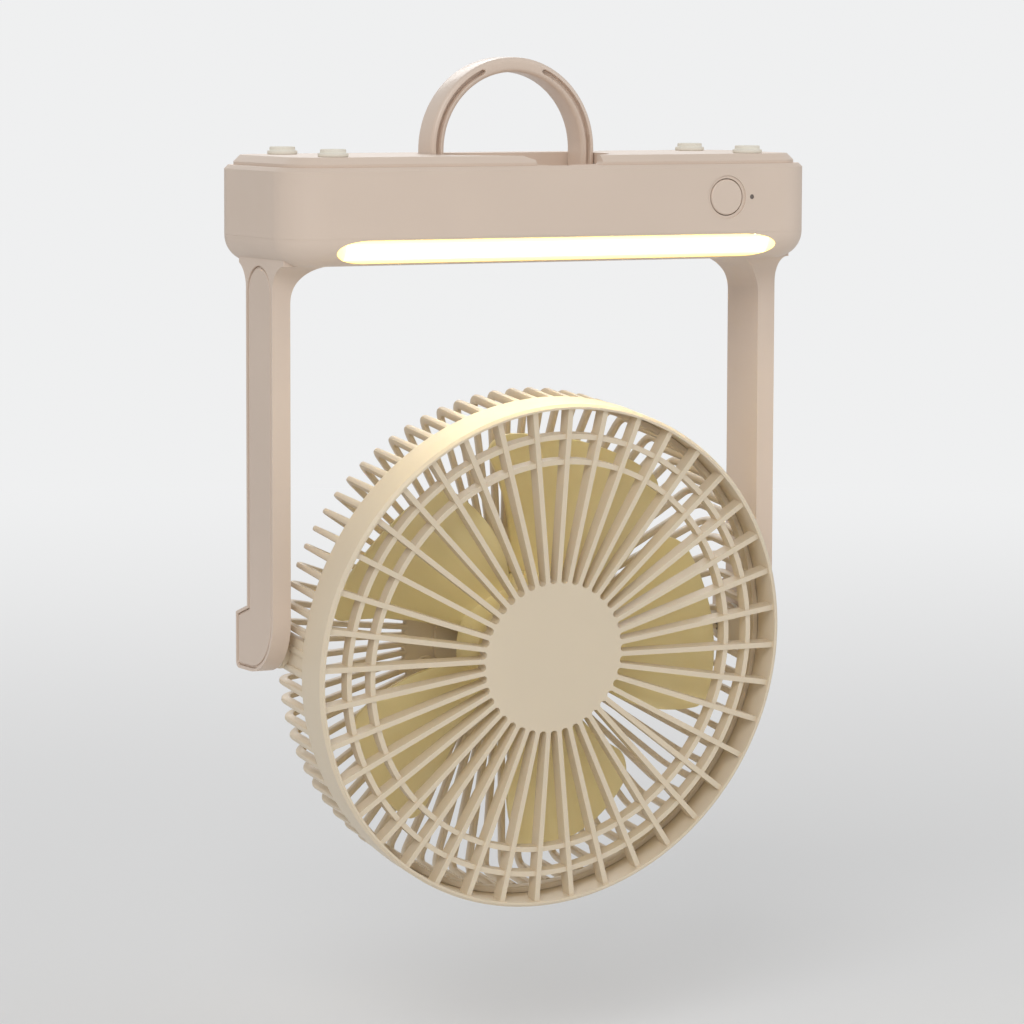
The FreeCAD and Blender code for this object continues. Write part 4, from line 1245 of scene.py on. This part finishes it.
@dataclass
class FanHead:
    """The caged head: front shell, rear basket, cap, motor and tilt hinge."""

    shell: MouldedPlastic = MouldedPlastic("shell_cream", SHELL_CREAM, 0.42, translucence=0.06)
    basket: MouldedPlastic = MouldedPlastic("basket_cream", SHELL_CREAM, 0.44, translucence=0.06)
    steel: TurnedSteel = TurnedSteel("turned_steel")
    washer: MouldedPlastic = MouldedPlastic("waxy_washer", (0.86, 0.86, 0.83), 0.38)
    mount: MouldedPlastic = MouldedPlastic("motor_mount", shade(SHELL_CREAM, 0.97), 0.5)
    stator: WoundStator = WoundStator("wound_stator")
    screw_seat: Point = (34.5 * MM, 44.1 * MM, 0.0)
    screw_turns: Point = (40.0, -80.0, 160.0)

    def build(self, nodes: Nodes) -> None:
        """Make and dress the head.

        Args:
            nodes: The CAD nodes by name.
        """
        shell = self.shell.material()
        basket = self.basket.material()
        grille = GrilleShell("front_grille", Body.FAN_HEAD, "grille", 0.45 * MM, merge_below=0.001)
        grille.build(nodes["front_grille"], shell)
        RearBasket().build(basket)
        EasedPiece("rear_cap", Body.FAN_HEAD, "basket", 0.6 * MM, 3).build(nodes["rear_cap"], basket)
        steel = self.steel.material()
        plain = {
            "motor_flange": self.mount.material(),
            "motor_stator": self.stator.material(),
            "motor_bearings": steel,
            "pivot_shafts": steel,
            "friction_washers": self.washer.material(),
        }
        dress_nodes(nodes, plain)
        CrossScrews("motor_screws", Body.FAN_HEAD, self._screw_places()).build(steel)

    def _screw_places(self) -> tuple[Matrix, ...]:
        """Where the three motor screws stand, on the basket's hub.

        Returns:
            A matrix for each screw.
        """
        seat = Matrix.Translation(self.screw_seat) @ Matrix.Rotation(-math.pi / 2, 4, "X")
        frame = HeadFrame().place()
        turns = (Matrix.Rotation(math.radians(turn), 4, "Y") for turn in self.screw_turns)
        return tuple(frame @ turn @ seat for turn in turns)


@dataclass
class Rotor:
    """The impeller and what turns with it."""

    # The blade colour is the cream plastic plus painted light from the strip, brighter and yellower than the
    # plastic's own colour.
    blades: MouldedPlastic = MouldedPlastic("blade_cream_painted_light", BLADE_CREAM_WITH_PAINTED_LIGHT, 0.32, coat=0.12, translucence=0.1)
    steel: TurnedSteel = TurnedSteel("rotor_steel", marks=(30.0, 1.0, 30.0))
    magnet: MouldedPlastic = MouldedPlastic("ring_magnet", (0.07, 0.065, 0.065), 0.6)

    def build(self, nodes: Nodes) -> None:
        """Make and dress the rotor.

        Args:
            nodes: The CAD nodes by name.
        """
        blades = BladeSet("impeller", Body.ROTOR, "blades", 0.25 * MM, merge_below=0.05, weighted=False)
        blades.build(nodes["impeller"], self.blades.material())
        steel = self.steel.material()
        plain = {
            "shaft_clip": steel,
            "motor_shaft": steel,
            "rotor_can": steel,
            "rotor_magnet": self.magnet.material(),
        }
        dress_nodes(nodes, plain)


@dataclass
class PhotoCamera:
    """The camera's place, found from the photograph's corners, rims and arms."""

    distance: float = 1659.627 * MM
    yaw: float = 27.6134
    pitch: float = 5.9209
    roll: float = -0.17536
    side_shift: float = -1.6516 * MM
    up_shift: float = -127.5702 * MM
    base_centre: Point = (0.0, -9.0 * MM, -34.5 * MM)
    focal_pixels: float = 4501.0
    frame_pixels: float = 1024.0
    sensor: float = 36.0

    def build(self) -> None:
        """Place the camera and make it the scene's."""
        yaw, pitch = math.radians(self.yaw), math.radians(self.pitch)
        back = Vector((-math.sin(yaw) * math.cos(pitch), -math.cos(yaw) * math.cos(pitch), math.sin(pitch)))
        right = (-back).cross(Vector((0, 0, 1))).normalized()
        up = right.cross(-back)
        place = Vector(self.base_centre) + back * self.distance + right * self.side_shift + up * self.up_shift
        turn = Matrix.Rotation(math.radians(self.roll), 3, "Z")
        axes = turn @ Matrix((right, up, back))
        data = bpy.data.cameras.new("photo_camera")
        data.sensor_width = self.sensor
        data.lens = self.focal_pixels / self.frame_pixels * self.sensor
        data.clip_start = 0.05
        data.clip_end = 60.0
        camera = bpy.data.objects.new("photo_camera", data)
        camera.matrix_world = Matrix.Translation(place) @ axes.transposed().to_4x4()
        bpy.context.scene.collection.objects.link(camera)
        bpy.context.scene.camera = camera
        LOG.info("camera at %.3f %.3f %.3f m", *place)


@dataclass
class SoftLamp:
    """One large soft lamp, aimed at a point of the fan."""

    name: str
    place: Point
    size: float
    power: float
    colour: Colour = (1.0, 1.0, 1.0)
    aim: Point = (0.0, 0.0, -0.16)

    def build(self) -> None:
        """Place the lamp."""
        data = bpy.data.lights.new(self.name, "AREA")
        data.shape = "SQUARE"
        data.size = self.size
        data.energy = self.power
        data.color = self.colour
        lamp = bpy.data.objects.new(self.name, data)
        direction = Vector(self.aim) - Vector(self.place)
        turn = direction.to_track_quat("-Z", "Y").to_matrix().to_4x4()
        lamp.matrix_world = Matrix.Translation(Vector(self.place)) @ turn
        bpy.context.scene.collection.objects.link(lamp)


@dataclass
class Studio:
    """Pale floor, pale surroundings and soft lamps."""

    floor_height: float = -0.37
    floor_size: float = 60.0
    floor_fade: tuple[float, float] = (0.5, 2.2)
    floor_colour: Colour = (0.80, 0.80, 0.80)
    air_colour: Colour = (0.96, 0.965, 0.97)
    air_light: float = 0.50
    air_seen: float = 0.90
    lamps: tuple[SoftLamp, ...] = (
        SoftLamp("key_lamp", (-1.5, -1.9, 1.3), 1.2, 26.0),
        SoftLamp("fill_lamp", (1.9, -1.2, 0.5), 1.6, 8.0),
        SoftLamp("back_lamp", (0.6, 1.8, 1.2), 1.2, 12.0),
    )

    def build(self) -> None:
        """Make the floor, the surroundings and the lamps."""
        self._floor()
        self._air()
        for lamp in self.lamps:
            lamp.build()
        bpy.context.scene.view_settings.view_transform = "Standard"

    def _floor(self) -> None:
        """Lay the floor, which turns into the colour of the surroundings far out."""
        bpy.ops.mesh.primitive_plane_add(size=self.floor_size, location=(0, 0, self.floor_height))
        floor = bpy.context.object
        floor.name = "studio_floor"
        paint = Surface("floor_paint")
        patches = paint.noise(1.5, 2.0)
        colour = paint.blend(patches, shade(self.floor_colour, 0.985), self.floor_colour)
        paint.set(Base_Color=colour, Roughness=0.9)
        reach = (paint.coordinate("X") ** 2.0 + paint.coordinate("Y") ** 2.0) ** 0.5
        rays = paint.node("ShaderNodeLightPath", {}, {})
        seen = Signal(paint, rays.outputs["Is Camera Ray"]) * reach.step(*self.floor_fade)
        far = paint.node("ShaderNodeEmission", {}, {"Color": self.air_colour, "Strength": self.air_seen})
        inputs = {0: seen, 1: paint.shader.outputs[0], 2: far.outputs[0]}
        paint.feed(paint.output.inputs["Surface"], paint.node("ShaderNodeMixShader", {}, inputs).outputs[0])
        dress(floor, paint.material)

    def _air(self) -> None:
        """Light the surroundings: seen pale, shining softly."""
        world = bpy.data.worlds.new("studio_air")
        air = Graph(world)
        rays = air.node("ShaderNodeLightPath", {}, {}).outputs
        seen = Signal(air, rays["Is Camera Ray"])
        for other in ("Is Glossy Ray", "Is Transmission Ray"):
            seen = seen.larger(rays[other])
        level = seen * (self.air_seen - self.air_light) + self.air_light
        shine = air.node("ShaderNodeBackground", {}, {"Color": self.air_colour, "Strength": level})
        air.node("ShaderNodeOutputWorld", {}, {"Surface": shine.outputs[0]})
        bpy.context.scene.world = world


def main() -> None:
    """Build the fan's looks in order."""
    logging.basicConfig(level=logging.INFO, format="%(name)s: %(message)s")
    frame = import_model()
    nodes = frame["nodes"]
    PhotoCamera().build()
    Studio().build()
    for assembly in (BaseCasing(), Arms(), HangingRing(), FanHead(), Rotor()):
        assembly.build(nodes)
        LOG.info("%s done", type(assembly).__name__)


if __name__ == "__main__":
    main()
